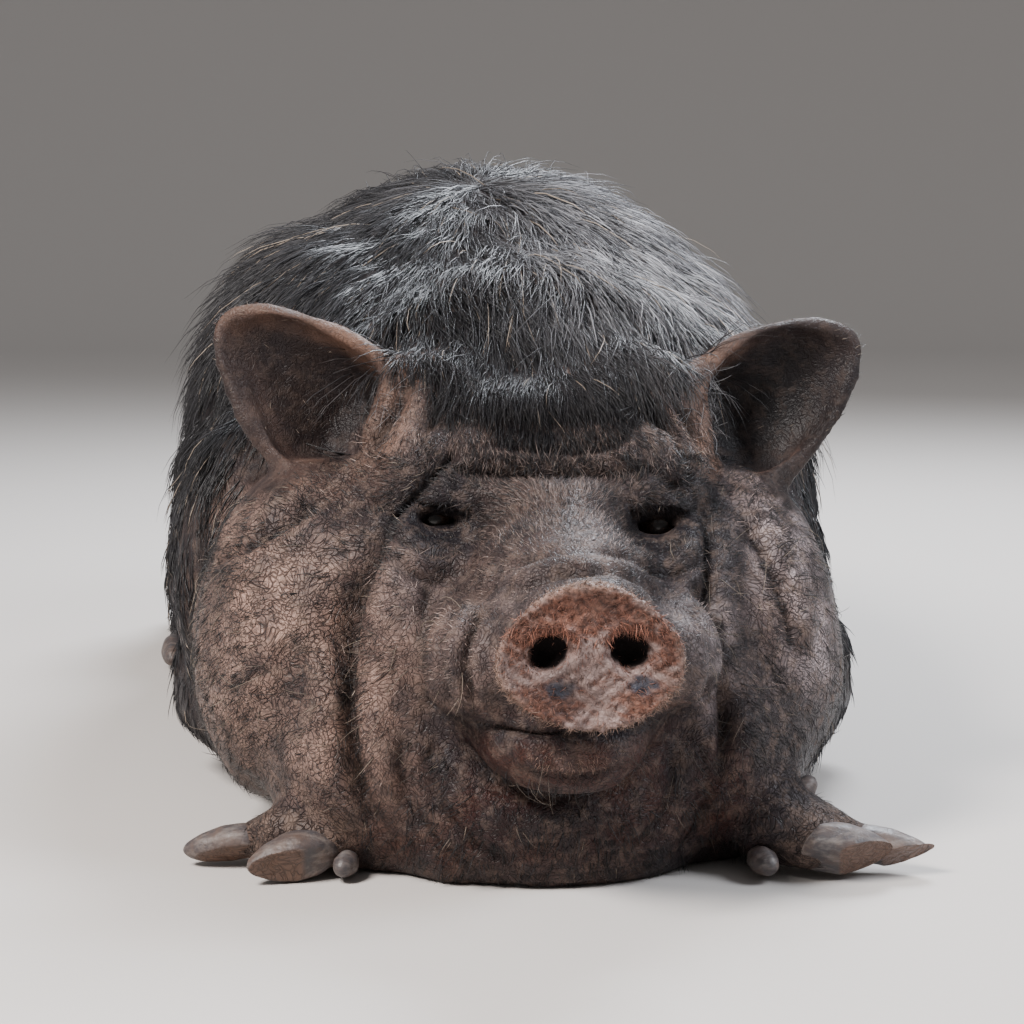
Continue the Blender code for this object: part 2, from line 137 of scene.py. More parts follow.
def add_to_scene(name, mesh):
    thing = bpy.data.objects.new(name, mesh)
    bpy.context.scene.collection.objects.link(thing)
    return thing


def with_modifier(mesh, kind, settings, kept=None):
    """The mesh after one modifier; kept weighs the points that it should spare."""
    thing = add_to_scene("working", mesh)
    modifier = thing.modifiers.new("step", kind)
    for key, value in settings.items():
        setattr(modifier, key, value)
    if kept is not None:
        group = thing.vertex_groups.new(name="free")
        group.add([int(i) for i in np.nonzero(~kept)[0]], 1.0, "REPLACE")
        modifier.vertex_group = "free"
    graph = bpy.context.evaluated_depsgraph_get()
    result = bpy.data.meshes.new_from_object(thing.evaluated_get(graph))
    bpy.data.objects.remove(thing, do_unlink=True)
    bpy.data.meshes.remove(mesh)
    return result


def numbers(items, key, width, kind=np.float64):
    """One property of all of a mesh's points, edges or faces as an array."""
    found = np.empty(len(items) * width, dtype=kind)
    items.foreach_get(key, found)
    return found.reshape(-1, width) if width > 1 else found


def put_points(mesh, points):
    mesh.vertices.foreach_set("co", points.ravel())
    mesh.update()


def unit(vectors):
    return vectors / np.maximum(np.linalg.norm(vectors, axis=1), 1e-9)[:, None]


def softened(points, edges, weight, rounds):
    """The points after Laplacian smoothing, each as far as its weight."""
    count = len(points)
    first, second = edges[:, 0], edges[:, 1]
    valence = np.bincount(first, minlength=count) + np.bincount(second, minlength=count)
    valence = np.maximum(valence, 1)
    weight = np.broadcast_to(weight, count)[:, None]
    for _ in range(rounds):
        mean = np.empty_like(points)
        for axis in range(3):
            total = np.bincount(first, weights=points[second, axis], minlength=count)
            total += np.bincount(second, weights=points[first, axis], minlength=count)
            mean[:, axis] = total / valence
        points = points + weight * (mean - points)
    return points


def ball(points, centre, radii):
    """1 at the centre of a soft ball, fading to nothing outside its radii."""
    away = (points - np.array(centre)) / np.array(radii)
    return np.exp(-np.sum(away * away, axis=1))


def step(values, low, high):
    """0 below low, 1 above high and smooth between."""
    part = np.clip((values - low) / (high - low), 0, 1)
    return part * part * (3 - 2 * part)


# Distances from a fold count less from front to back, where it runs round the face.
FOLD_SQUASH = np.array((1.0, 0.35, 1.0))


def from_path(points, path, reach):
    """Each point's distance from a path of corners, up to a reach, and how far along it is."""
    points = points * FOLD_SQUASH
    corners = np.array(path) * FOLD_SQUASH
    away = np.full(len(points), reach * 4.0)
    along = np.zeros(len(points))
    close = np.all((points > corners.min(0) - reach) & (points < corners.max(0) + reach), axis=1)
    chosen = np.nonzero(close)[0]
    near = points[chosen]
    best = np.full(len(chosen), reach * 4.0)
    where = np.zeros(len(chosen))
    for k, (a, b) in enumerate(zip(corners[:-1], corners[1:])):
        line = b - a
        part = np.clip((near - a) @ line / (line @ line), 0, 1)
        gap = np.linalg.norm(near - a - part[:, None] * line, axis=1)
        better = gap < best
        best[better] = gap[better]
        where[better] = (k + part[better]) / (len(corners) - 1)
    away[chosen] = best
    along[chosen] = where
    return away, along


def smooth_path(path, rounds=2):
    """The path with its corners cut."""
    corners = np.array(path, dtype=float)
    for _ in range(rounds):
        a, b = corners[:-1], corners[1:]
        inner = np.stack([0.75 * a + 0.25 * b, 0.25 * a + 0.75 * b], axis=1).reshape(-1, 3)
        corners = np.vstack([corners[:1], inner, corners[-1:]])
    return corners


# Folds of the hide: path, half width, depth, and height of the swelling beside it.
FOLDS = {
    "brow": (((-.052, -.371, .199), (-.040, -.371, .199), (-.022, -.369, .1965), (0, -.375, .195),
              (.020, -.373, .197), (.040, -.375, .2005), (.052, -.375, .198), (.057, -.378, .190)),
             .0056, .0120, .0042),
    "brow_upper": (((-.035, -.364, .211), (-.018, -.364, .2085), (.002, -.365, .2065),
                    (.022, -.365, .208), (.038, -.365, .212)), .0036, .0040, .0022),
    "ear_roll_right_a": (((-.072, -.327, .242), (-.077, -.335, .226), (-.086, -.339, .214),
                          (-.094, -.338, .204)), .0045, .006, .0022),
    "ear_roll_right_b": (((-.050, -.366, .208), (-.064, -.371, .193), (-.074, -.374, .183),
                          (-.084, -.381, .175)), .0042, .0065, .002),
    "ear_roll_right_c": (((-.053, -.344, .232), (-.062, -.348, .217), (-.068, -.364, .206)),
                         .003, .003, .001),
    "ear_roll_left_a": (((.044, -.346, .230), (.054, -.347, .216), (.062, -.362, .205),
                         (.066, -.373, .190)), .0042, .006, .002),
    "ear_roll_left_b": (((.060, -.337, .228), (.069, -.342, .213), (.075, -.356, .199)),
                        .003, .0035, .0012),
    "ear_roll_left_c": (((.040, -.373, .206), (.052, -.376, .194), (.064, -.376, .181)),
                        .003, .0035, .001),
    "jowl_right": (((-.082, -.381, .175), (-.092, -.390, .160), (-.101, -.392, .138),
                    (-.105, -.396, .117), (-.106, -.406, .100), (-.105, -.416, .071),
                    (-.101, -.416, .048), (-.092, -.410, .027)), .0065, .0100, .0028),
    "under_ear_right": (((-.114, -.347, .183), (-.132, -.361, .172), (-.152, -.357, .160),
                         (-.171, -.330, .150)), .005, .005, .0015),
    "cheek_right": (((-.064, -.403, .145), (-.069, -.418, .130), (-.072, -.432, .117),
                     (-.070, -.428, .099), (-.064, -.420, .086)), .005, .0034, .0018),
    "cheek_left": (((.062, -.404, .146), (.064, -.421, .129), (.066, -.430, .113),
                    (.062, -.424, .092)), .0045, .0050, .0018),
    "mouth": (((-.047, -.444, .0868), (-.032, -.466, .0872), (-.017, -.478, .0878),
               (.001, -.480, .0880), (.017, -.478, .0878), (.031, -.461, .0872)),
              .0034, .0050, .0002),
    "chin": (((-.053, -.428, .074), (-.047, -.436, .062), (-.034, -.442, .052), (-.010, -.444, .046),
              (.016, -.443, .0495), (.031, -.446, .060), (.039, -.441, .072)), .0060, .0080, .0012),
    "pleat_right_a": (((-.079, -.421, .076), (-.080, -.422, .059), (-.075, -.420, .039),
                       (-.063, -.421, .021), (-.043, -.423, .008)), .0040, .0020, .0008),
    "pleat_right_b": (((-.066, -.421, .072), (-.066, -.423, .057), (-.061, -.427, .040),
                       (-.048, -.430, .025), (-.029, -.430, .013)), .0036, .0018, .0008),
    "pleat_left_a": (((.047, -.428, .070), (.049, -.425, .050), (.043, -.427, .033),
                      (.030, -.428, .019)), .0038, .0020, .0008),
    "pleat_left_b": (((.063, -.422, .071), (.067, -.420, .048), (.065, -.414, .027),
                      (.054, -.411, .011)), .0038, .0020, .0008),
    "jowl_left": (((.074, -.372, .178), (.073, -.393, .164), (.069, -.409, .146),
                   (.068, -.420, .129), (.072, -.430, .113), (.076, -.418, .089),
                   (.076, -.421, .068), (.070, -.419, .046)), .0055, .0070, .0025),
    "jowl_left_b": (((.092, -.363, .175), (.103, -.384, .152), (.111, -.393, .128),
                     (.115, -.395, .109)), .0050, .0045, .0020),
    "under_lip": (((-.028, -.458, .070), (-.018, -.470, .0672), (-.006, -.475, .0660),
                   (.008, -.475, .067), (.020, -.469, .0705)), .0040, .0026, .0016),
    "lid_over_right": (((-.082, -.378, .178), (-.068, -.374, .183), (-.056, -.374, .182),
                        (-.046, -.381, .176)), .0020, .0028, .0010),
    "lid_under_right": (((-.083, -.390, .168), (-.076, -.396, .162), (-.066, -.397, .158),
                         (-.055, -.393, .158), (-.046, -.393, .163)), .0020, .0026, .0012),
    "bag_right": (((-.081, -.400, .156), (-.072, -.405, .147), (-.058, -.402, .144),
                   (-.047, -.405, .152)), .0032, .0018, .0012),
    "lid_over_left": (((.035, -.387, .176), (.045, -.379, .179), (.055, -.378, .180),
                       (.064, -.380, .176)), .0020, .0028, .0010),
    "lid_under_left": (((.033, -.408, .165), (.042, -.401, .160), (.052, -.398, .159),
                        (.062, -.395, .164)), .0020, .0026, .0012),
    "bag_left": (((.030, -.425, .158), (.041, -.419, .150), (.055, -.407, .148),
                  (.066, -.404, .154)), .0028, .0030, .0014),
    "muzzle_right_a": (((-.044, -.447, .138), (-.051, -.459, .127), (-.053, -.465, .115),
                        (-.048, -.462, .098)), .0026, .0044, .0018),
    "muzzle_right_b": (((-.050, -.425, .143), (-.059, -.445, .128), (-.061, -.455, .113),
                        (-.057, -.453, .097)), .0026, .0034, .0016),
    "muzzle_left_a": (((.052, -.432, .136), (.057, -.447, .124), (.058, -.451, .109),
                       (.056, -.440, .094)), .0026, .0042, .0018),
    "nose_a": (((-.029, -.461, .148), (-.017, -.469, .157), (.003, -.472, .160),
                (.026, -.456, .154), (.040, -.440, .144)), .0024, .0026, .0012),
    "nose_b": (((-.032, -.439, .156), (-.015, -.452, .165), (.006, -.454, .166),
                (.032, -.430, .159)), .0024, .0016, .0008),
}


# Folds whose upper side hangs over the crease, and by how much.
OVERHANGS = {
    "brow": 0.0085, "lid_over_right": 0.0036, "lid_over_left": 0.0036, "mouth": 0.0020,
    "under_ear_right": 0.003, "ear_roll_right_b": 0.0025, "brow_upper": 0.0015,
}


def pressed(points, normals):
    """The points with every fold pressed in, and how deep in a fold each one is."""
    moved = points.copy()
    shade = np.zeros(len(points))
    for name, (path, width, depth, swelling) in FOLDS.items():
        path = smooth_path(path)
        away, along = from_path(points, path, 6 * width)
        ends = np.minimum(step(along, -0.05, 0.22), step(1 - along, -0.05, 0.22))
        core = 0.62 * width
        dip = np.exp(-(away / core) ** 2) * ends
        rise = np.exp(-((away - 3.4 * core) / (2.1 * core)) ** 2) * ends
        moved += normals * (1.25 * swelling * rise - 1.15 * depth * dip)[:, None]
        if name in OVERHANGS:
            level = np.interp(along, np.linspace(0, 1, len(path)), path[:, 2])
            above = step(points[:, 2] - level, -0.0005, 0.0020)
            hang = OVERHANGS[name] * above * ends * np.exp(-(away / (3.6 * core)) ** 2)
            moved[:, 2] -= hang
            moved[:, 1] -= 0.75 * hang
        shade = np.maximum(shade, dip * min(1.0, depth / 0.005))
    return moved, shade


def drift(points, size, seed):
    """Smooth values between about -1 and 1 that change over the given size."""
    rng = np.random.default_rng(seed)
    total = np.zeros(len(points))
    for _ in range(7):
        way = rng.normal(size=3)
        way *= 2 * pi / size / np.linalg.norm(way) * rng.uniform(0.6, 1.5)
        total += np.sin(points @ way + rng.uniform(0, 2 * pi))
    return total / 3.0


def coat_depth(points):
    """How far the skin lies under the tips of the coat."""
    x, y, z = points.T
    body = step(y, -0.30, -0.20)
    crest = body * step(z, 0.16, 0.28)
    depth = 0.0012 + 0.0055 * body + 0.0065 * crest
    legs = np.maximum(step(0.06 - z, 0, 0.03) * step(np.abs(x), 0.11, 0.15), step(y, 0.44, 0.46))
    depth = depth * (1 - 0.8 * legs)
    for middle in EAR_MIDDLES:
        depth = depth * (1 - 0.75 * np.clip(1.6 * ball(points, middle, (.055, .05, .055)), 0, 1))
    return depth * step(z, 0.0, 0.03)


def from_disc(points, half_width, half_height):
    """0 in the middle of the snout disc and 1 all round, at its half width and half height."""
    x, _, z = points.T
    return np.sqrt((x / half_width) ** 2 + ((z - SNOUT_MIDDLE[2]) / half_height) ** 2)


def swollen_snout(points, normals):
    """The disc spread to its full width, with a rolled rim, flared nostrils and uneven leather."""
    x, y, z = points.T
    disc = step(-y, 0.474, 0.490) * step(z, 0.088, 0.096)
    away = from_disc(points, 0.0405, 0.030)
    moved = points.copy()
    spread = 1 + 0.075 * disc
    moved[:, 0] = x * spread
    moved[:, 2] = SNOUT_MIDDLE[2] + (z - SNOUT_MIDDLE[2]) * spread
    face = step(-y, 0.494, 0.502)
    hollow = face * np.exp(-((away - 0.62) / 0.26) ** 2)
    moved[:, 1] += 0.0016 * hollow - 0.0010 * face * np.exp(-((away - 0.97) / 0.10) ** 2)
    for side in (-1, 1):
        across, up = x - side * 0.0170, z - 0.1285
        widen = 0.34 * np.exp(-(across / 0.0105) ** 2 - (up / 0.0090) ** 2) * disc
        moved[:, 0] += widen * (across - side * 0.9 * up)
        moved[:, 2] += 1.2 * widen * up
        ring = np.sqrt(((x - side * 0.0175) / 0.0105) ** 2 + ((z - 0.1295) / 0.0092) ** 2)
        moved[:, 1] -= 0.0020 * face * np.exp(-((ring - 1.12) / 0.24) ** 2) * step(z, 0.118, 0.126)
        wing = ball(points, (side * 0.024, -0.503, 0.110), (.013, .02, .009))
        moved[:, 1] -= 0.0030 * wing * disc
    middle = ball(points, (0, -0.505, 0.098), (.005, .02, .007))
    moved[:, 1] += 0.0030 * middle * disc
    crumbs = drift(points, 0.0050, 61) + 0.7 * drift(points, 0.0026, 62)
    return moved + normals * (0.00055 * disc * crumbs)[:, None]


def throat_pleats(points, normals):
    """Fine wrinkles that run round the chin and down to the floor."""
    x, y, z = points.T
    ring = np.sqrt((x + 0.004) ** 2 + ((y + 0.43) * 0.6) ** 2 + (z - 0.100) ** 2)
    here = step(ring, 0.040, 0.055) * step(-ring, -0.125, -0.095) * step(-y, 0.385, 0.405)
    here *= step(0.082 - z, 0, 0.02) * (0.55 + 0.45 * drift(points, 0.03, 71))
    wave = np.sin(2 * pi * ring / 0.0056 + 3.0 * drift(points, 0.030, 72))
    wave += 0.5 * np.sin(2 * pi * ring / 0.0034 + 2.0 * drift(points, 0.020, 73))
    return points + normals * (0.00062 * np.clip(here, 0, 1) * wave)[:, None]


def shaped_eye(points, centre):
    """A dark hollow round the eye, a long narrow slit in it, and a puffy brow pad over it."""
    offset = points - np.array(centre)
    front = step(-offset[:, 1], -0.03, -0.005)
    x, z = offset[:, 0], offset[:, 2]
    points = points.copy()
    near = np.exp(-(x / 0.015) ** 2 - (z / 0.009) ** 2) * front
    points[:, 0] += 0.30 * near * x
    points[:, 2] -= 0.50 * near * (z + 0.0005)
    socket = np.exp(-(x / 0.0200) ** 2 - ((z - 0.001) / 0.0115) ** 2) * front
    points[:, 1] += 0.0075 * socket
    pad = np.exp(-((x * 0.9) / 0.023) ** 2 - ((z - 0.0175) / 0.0085) ** 2) * front
    points[:, 1] -= 0.0062 * pad
    points[:, 2] -= 0.0034 * pad
    bag = np.exp(-(x / 0.018) ** 2 - ((z + 0.0150) / 0.0060) ** 2) * front
    points[:, 1] -= 0.0028 * bag
    return points


def bulging_rolls(points, normals):
    """Fleshy rolls that run from the ears down to the brow."""
    rolls = ball(points, (-.073, -.350, .221), (.012, .03, .020))
    rolls += 0.9 * ball(points, (.060, -.352, .217), (.011, .03, .018))
    rolls += 0.5 * ball(points, (.050, -.330, .248), (.012, .03, .010))
    return points + normals * (0.0055 * rolls)[:, None]


def fused_flesh():
    """All the flesh, with the rims of the ears and the toes, remeshed into one closed hide."""
    bm = flesh_copy(FLESH)
    for path, radii in EAR_RIMS + TOES:
        add_tube(bm, path, radii)
    mesh = bpy.data.meshes.new("flesh")
    bm.to_mesh(mesh)
    bm.free()
    return with_modifier(mesh, "REMESH", {"mode": "VOXEL", "voxel_size": SKIN_VOXEL})


def round_off(mesh):
    """Smooth away the facets and steps, less on the fine parts, and make room for the coat."""
    points = numbers(mesh.vertices, "co", 3)
    edges = numbers(mesh.edges, "vertices", 2, np.int64)
    fine = ball(points, SNOUT_MIDDLE, (.045, .02, .035))
    for middle in EAR_MIDDLES:
        fine = np.maximum(fine, ball(points, middle, (.06, .06, .06)))
    for eye in (RIGHT_EYE, LEFT_EYE):
        fine = np.maximum(fine, 0.8 * ball(points, eye, (.016, .02, .012)))
    points = softened(points, edges, 0.65 * (1 - 0.75 * np.clip(1.3 * fine, 0, 1)), SOFTENING)
    _, y, z = points.T
    crown = step(z, 0.212, 0.230) * step(y, -0.372, -0.348) * (1 - step(y, -0.20, -0.14))
    crown *= 1 - np.clip(1.5 * fine, 0, 1)
    points = softened(points, edges, 0.9 * crown, CROWN_SOFTENING)
    put_points(mesh, points)
    normals = unit(softened(numbers(mesh.vertex_normals, "vector", 3), edges, 0.6, 4))
    points -= normals * coat_depth(points)[:, None]
    lumps = step(np.abs(points[:, 0]) + 0.12 - points[:, 1] * 0.3, 0.20, 0.27)
    points += normals * (LUMP_HEIGHT * lumps * drift(points, 0.045, 3))[:, None]
    put_points(mesh, points)


def refined(mesh):
    """The mesh with fewer faces on the body, and more in the folds, round the eyes and on the disc."""
    x, y, _ = numbers(mesh.vertices, "co", 3).T
    face = (y < -0.335) & (np.abs(x) < 0.115)
    mesh = with_modifier(mesh, "DECIMATE", {
        "ratio": SKIN_FACES / (2 * len(mesh.polygons)), "vertex_group_factor": 1.0}, face)
    bm = bmesh.new()
    bm.from_mesh(mesh)
    bmesh.ops.triangulate(bm, faces=bm.faces)
    bm.verts.ensure_lookup_table()
    places = np.array([vert.co for vert in bm.verts])
    fine = pressed(places, np.zeros_like(places))[1] > 0.10
    for eye in (RIGHT_EYE, LEFT_EYE):
        fine |= np.linalg.norm(places - np.array(eye), axis=1) < 0.020
    fine |= (places[:, 1] < -0.488) & (places[:, 2] > 0.09)
    close = [edge for edge in bm.edges if fine[edge.verts[0].index] and fine[edge.verts[1].index]]
    bmesh.ops.subdivide_edges(bm, edges=close, cuts=1, smooth=0)
    bmesh.ops.triangulate(bm, faces=bm.faces)
    bm.to_mesh(mesh)
    bm.free()
    return mesh


def build_skin():
    """The finished skin, and how deep in a fold each of its points is."""
    mesh = fused_flesh()
    round_off(mesh)
    mesh = refined(mesh)
    points = numbers(mesh.vertices, "co", 3)
    edges = numbers(mesh.edges, "vertices", 2, np.int64)
    for eye in (RIGHT_EYE, LEFT_EYE):
        points = shaped_eye(points, eye)
    put_points(mesh, points)
    normals = unit(softened(numbers(mesh.vertex_normals, "vector", 3), edges, 0.6, 3))
    points = bulging_rolls(points, normals)
    points = swollen_snout(points, normals)
    points = throat_pleats(points, normals)
    points, shade = pressed(points, normals)
    points = softened(points, edges, 0.35 * np.clip(shade * 2, 0, 1), 2)
    points[:, 2] = np.maximum(points[:, 2], FLOOR_GAP)
    put_points(mesh, points)
    mesh.name = "skin"
    mesh.shade_smooth()
    return add_to_scene("skin", mesh), shade


skin, painted_fold_shade = build_skin()


def unwrap(thing):
    """An unwrap of the skin's own shape, which the coat shares."""
    thing.data.uv_layers.new(name="OFBake")
    for other in bpy.context.selected_objects:
        other.select_set(False)
    thing.select_set(True)
    bpy.context.view_layer.objects.active = thing
    bpy.ops.object.mode_set(mode="EDIT")
    bpy.ops.mesh.select_all(action="SELECT")
    bpy.ops.uv.smart_project(angle_limit=radians(66), island_margin=0.001)
    bpy.ops.object.mode_set(mode="OBJECT")


unwrap(skin)

# Colours of the hide, from the darkest places to the palest, some of them painted shade and painted
# highlights, then of the snout and what is on it.
DARK = (0.024, 0.020, 0.023)
BROWN = (0.080, 0.050, 0.042)
TAN = (0.420, 0.265, 0.212)
PAINTED_SHADE_GREY = (0.042, 0.040, 0.048)
MAUVE_AND_PAINTED_HIGHLIGHT = (0.225, 0.172, 0.166)
# painted highlight colour for the left jowl
PAINTED_HIGHLIGHT = (0.540, 0.440, 0.445)
# near black of the lids, also used as painted shade in hollows, recesses and the mouth line
LID_AND_PAINTED_SHADE = (0.010, 0.008, 0.011)
EAR_DARK = (0.016, 0.0095, 0.0085)
EAR_RIM = (0.205, 0.118, 0.085)
LIP_AND_PAINTED_HIGHLIGHT = (0.115, 0.052, 0.040)
CHIN_AND_PAINTED_SHADE = (0.042, 0.012, 0.008)
PASTERN = (0.150, 0.100, 0.078)
DISC = (0.350, 0.250, 0.228)
RUST = (0.185, 0.080, 0.054)
CLAY_AND_PAINTED_SHADE = (0.046, 0.019, 0.014)
SLATE = (0.034, 0.038, 0.055)
DISC_REACH = (0.0435, 0.0322)


def blended(under, over, amount):
    amount = np.clip(amount, 0, 1)[:, None]
    return under * (1 - amount) + np.array(over) * amount


def most(*masks):
    total = masks[0]
    for mask in masks[1:]:
        total = np.maximum(total, mask)
    return total


def on_ear(points):
    """1 on either ear."""
    found = np.zeros(len(points))
    for side, base, tip in ((-1, (-.090, -.306, .208), (-.174, -.282, .270)),
                            (1, (.082, -.309, .207), (.170, -.298, .258))):
        line = np.array(tip) - np.array(base)
        part = (points - np.array(base)) @ line / (line @ line)
        away = np.linalg.norm(points - np.array(base) - np.clip(part, 0, 1)[:, None] * line, axis=1)
        here = (part > 0.1) & (away < 0.062) & (points[:, 1] < -0.250) & (side * points[:, 0] > 0.088)
        found = np.maximum(found, here & ((points[:, 2] > 0.178) | (side * points[:, 0] < 0.13)))
    return found.astype(float)


def markings(points, normals):
    """The colour of the hide at each point, with painted shade and painted highlights in it, which the
    coat over it takes up as well.
    """
    x, y, z = points.T
    front = step(-y, 0.24, 0.32)
    colour = np.tile(np.array(DARK), (len(points), 1)) * (0.60 + 0.40 * front)[:, None]
    patch = 0.5 + 0.5 * drift(points, 0.05, 11)
    fleck = 0.5 + 0.5 * drift(points, 0.014, 12)
    # The pig's left side of the face is less brown and a cool grey: painted shade, with a cool painted
    # sheen, on the side away from the key light.
    colour = blended(colour, BROWN, front * (0.20 + 0.65 * patch) * (1 - 0.55 * step(x, 0.0, 0.07)))
    colour = blended(colour, PAINTED_SHADE_GREY, front * step(x, 0.0, 0.09) * (0.4 + 0.4 * patch))
    right_jowl = most(
        ball(points, (-.138, -.386, .125), (.048, .08, .045)),
        ball(points, (-.165, -.350, .085), (.040, .08, .045)),
        0.9 * ball(points, (-.120, -.400, .065), (.035, .05, .040)),
        0.7 * ball(points, (-.165, -.320, .165), (.035, .06, .018)))
    colour = blended(colour, TAN, right_jowl * (0.55 + 0.5 * fleck))
    warm = most(
        0.8 * ball(points, (-.088, -.415, .100), (.018, .04, .050)),
        0.7 * ball(points, (-.070, -.420, .050), (.025, .03, .025)),
        0.7 * ball(points, (-.082, -.345, .222), (.012, .03, .020)),
        0.5 * ball(points, (.060, -.350, .222), (.014, .03, .018)),
        0.6 * ball(points, (-.040, -.395, .160), (.012, .02, .010)),
        0.5 * ball(points, (.110, -.392, .135), (.020, .04, .040)),
        0.55 * ball(points, (.052, -.324, .251), (.014, .02, .010)),
        0.45 * ball(points, (-.055, -.450, .115), (.016, .03, .020)))
    colour = blended(colour, TAN, warm * (0.5 + 0.5 * fleck))
    # Paler mauve patches on the muzzle, brow and jowls; the two on the left jowl are partly a painted
    # highlight.
    pale = most(
        0.7 * ball(points, (-.030, -.455, .148), (.016, .03, .014)),
        0.4 * ball(points, (-.052, -.452, .120), (.012, .03, .020)),
        0.4 * ball(points, (.012, -.432, .172), (.018, .03, .009)),
        0.9 * ball(points, (.118, -.385, .158), (.026, .05, .038)),
        0.6 * ball(points, (.132, -.370, .105), (.026, .05, .030)),
        0.35 * ball(points, (.052, -.445, .118), (.012, .03, .028)),
        0.6 * ball(points, (-.078, -.400, .140), (.016, .04, .024)))
    colour = blended(colour, MAUVE_AND_PAINTED_HIGHLIGHT, pale * (0.45 + 0.75 * fleck))
    streak = step(0.5 + 0.5 * drift(points, 0.012, 13), 0.15, 0.75)
    # Painted highlight: a pale streaked patch on the left jowl and cheek, which the darker mottling
    # below spares.
    painted_jowl_highlight = most(ball(points, (.120, -.380, .165), (.024, .05, .028)),
                 0.7 * ball(points, (.130, -.375, .110), (.020, .05, .022)),
                 0.5 * ball(points, (.066, -.420, .110), (.012, .03, .030)))
    colour = blended(colour, PAINTED_HIGHLIGHT, 1.7 * painted_jowl_highlight * streak)
    bridge = ball(points, (.0, -.405, .185), (.035, .04, .022))
    colour = blended(colour, BROWN, 0.6 * bridge)
    # The chin and throat dark red brown: partly the hide's own colour, partly painted shade under the
    # jaw and down to the floor.
    chin = most(ball(points, (-.005, -.470, .066), (.046, .05, .020)),
                1.2 * ball(points, (-.005, -.450, .040), (.062, .06, .026)),
                0.9 * ball(points, (-.046, -.440, .070), (.016, .04, .022)),
                0.9 * ball(points, (.045, -.440, .066), (.018, .04, .024)),
                0.7 * ball(points, (.070, -.420, .040), (.026, .05, .040)),
                0.6 * ball(points, (-.070, -.410, .018), (.040, .05, .016)))
    colour = blended(colour, CHIN_AND_PAINTED_SHADE, 1.5 * chin)
    # Painted shade on the upper lip, under the overhanging disc.
    painted_upper_lip_shade = step(-y, 0.44, 0.46) * step(z, 0.084, 0.088) * step(0.099 - z, 0, 0.004)
    colour = blended(colour, CLAY_AND_PAINTED_SHADE, 0.95 * painted_upper_lip_shade * step(0.060 - np.abs(x), 0, 0.015))
    # Painted shadow along the line of the mouth under the disc.
    painted_mouth_shadow = np.exp(-((z - 0.0862) / 0.0045) ** 2) * step(-y, 0.415, 0.435)
    colour = blended(colour, LID_AND_PAINTED_SHADE, 0.9 * painted_mouth_shadow * step(0.066 - np.abs(x), 0, 0.012))
    # Painted shade in the recesses either side of the chin and under it.
    painted_recess_shade = most(ball(points, (-.060, -.430, .066), (.013, .03, .027)),
                  ball(points, (.054, -.430, .064), (.013, .03, .027)),
                  ball(points, (-.005, -.440, .038), (.046, .04, .010)))
    colour = blended(colour, LID_AND_PAINTED_SHADE, 0.85 * painted_recess_shade)
    # The lower lip red brown, partly a painted highlight along its middle.
    lip = ball(points, (-.004, -.478, .0745), (.021, .03, .0050)) * (0.6 + 0.5 * fleck)
    colour = blended(colour, LIP_AND_PAINTED_HIGHLIGHT, lip)
    # Near black round the deep-set eyes: partly the dark skin of the lids, partly painted shade.
    for eye in (RIGHT_EYE, LEFT_EYE):
        around = ball(points, np.array(eye) + np.array((0, 0, -0.001)), (.030, .03, .0175))
        colour = blended(colour, LID_AND_PAINTED_SHADE, 1.8 * around)
    # Painted shade in the hollows between the brows and the eyes, and beside the eyes.
    painted_eye_hollow_shade = most(0.9 * ball(points, (-.052, -.368, .190), (.016, .03, .010)),
                   0.9 * ball(points, (-.046, -.385, .164), (.010, .03, .012)),
                   0.9 * ball(points, (.070, -.362, .186), (.022, .04, .024)),
                   0.8 * ball(points, (.064, -.385, .160), (.014, .03, .012)))
    colour = blended(colour, LID_AND_PAINTED_SHADE, painted_eye_hollow_shade)
    mottle = step(drift(points, 0.022, 14) + 0.5 * drift(points, 0.010, 15), 0.0, 1.1)
    colour = blended(colour, DARK, 0.62 * mottle * front * (1 - 0.7 * painted_jowl_highlight))
    toes = step(0.040 - z, 0, 0.012) * step(np.abs(x), 0.100, 0.114) * step(-y, 0.352, 0.372)
    colour = blended(colour, PASTERN, toes * (0.5 + 0.4 * fleck))
    ear = on_ear(points)
    rim = np.zeros(len(points))
    for (path, _), (tip, base) in zip(EAR_RIMS, ((0.25, 1.3), (0.1, 0.3), (0.8, 1.2), (0.3, 0.6))):
        away, along = from_path(points, path, 0.030)
        strength = tip + (base - tip) * step(along, 0.25, 0.65)
        rim = np.maximum(rim, strength * step(-away, -0.0145, -0.0065))
    rim = np.clip(rim, 0, 1)
    inside = ear * step(-normals[:, 1], 0.0, 0.3) * (1 - rim)
    colour = blended(colour, BROWN, ear * (1 - inside))
    colour = blended(colour, EAR_RIM, rim * (0.45 + 0.5 * fleck))
    colour = blended(colour, EAR_DARK, inside * (0.85 + 0.15 * patch))
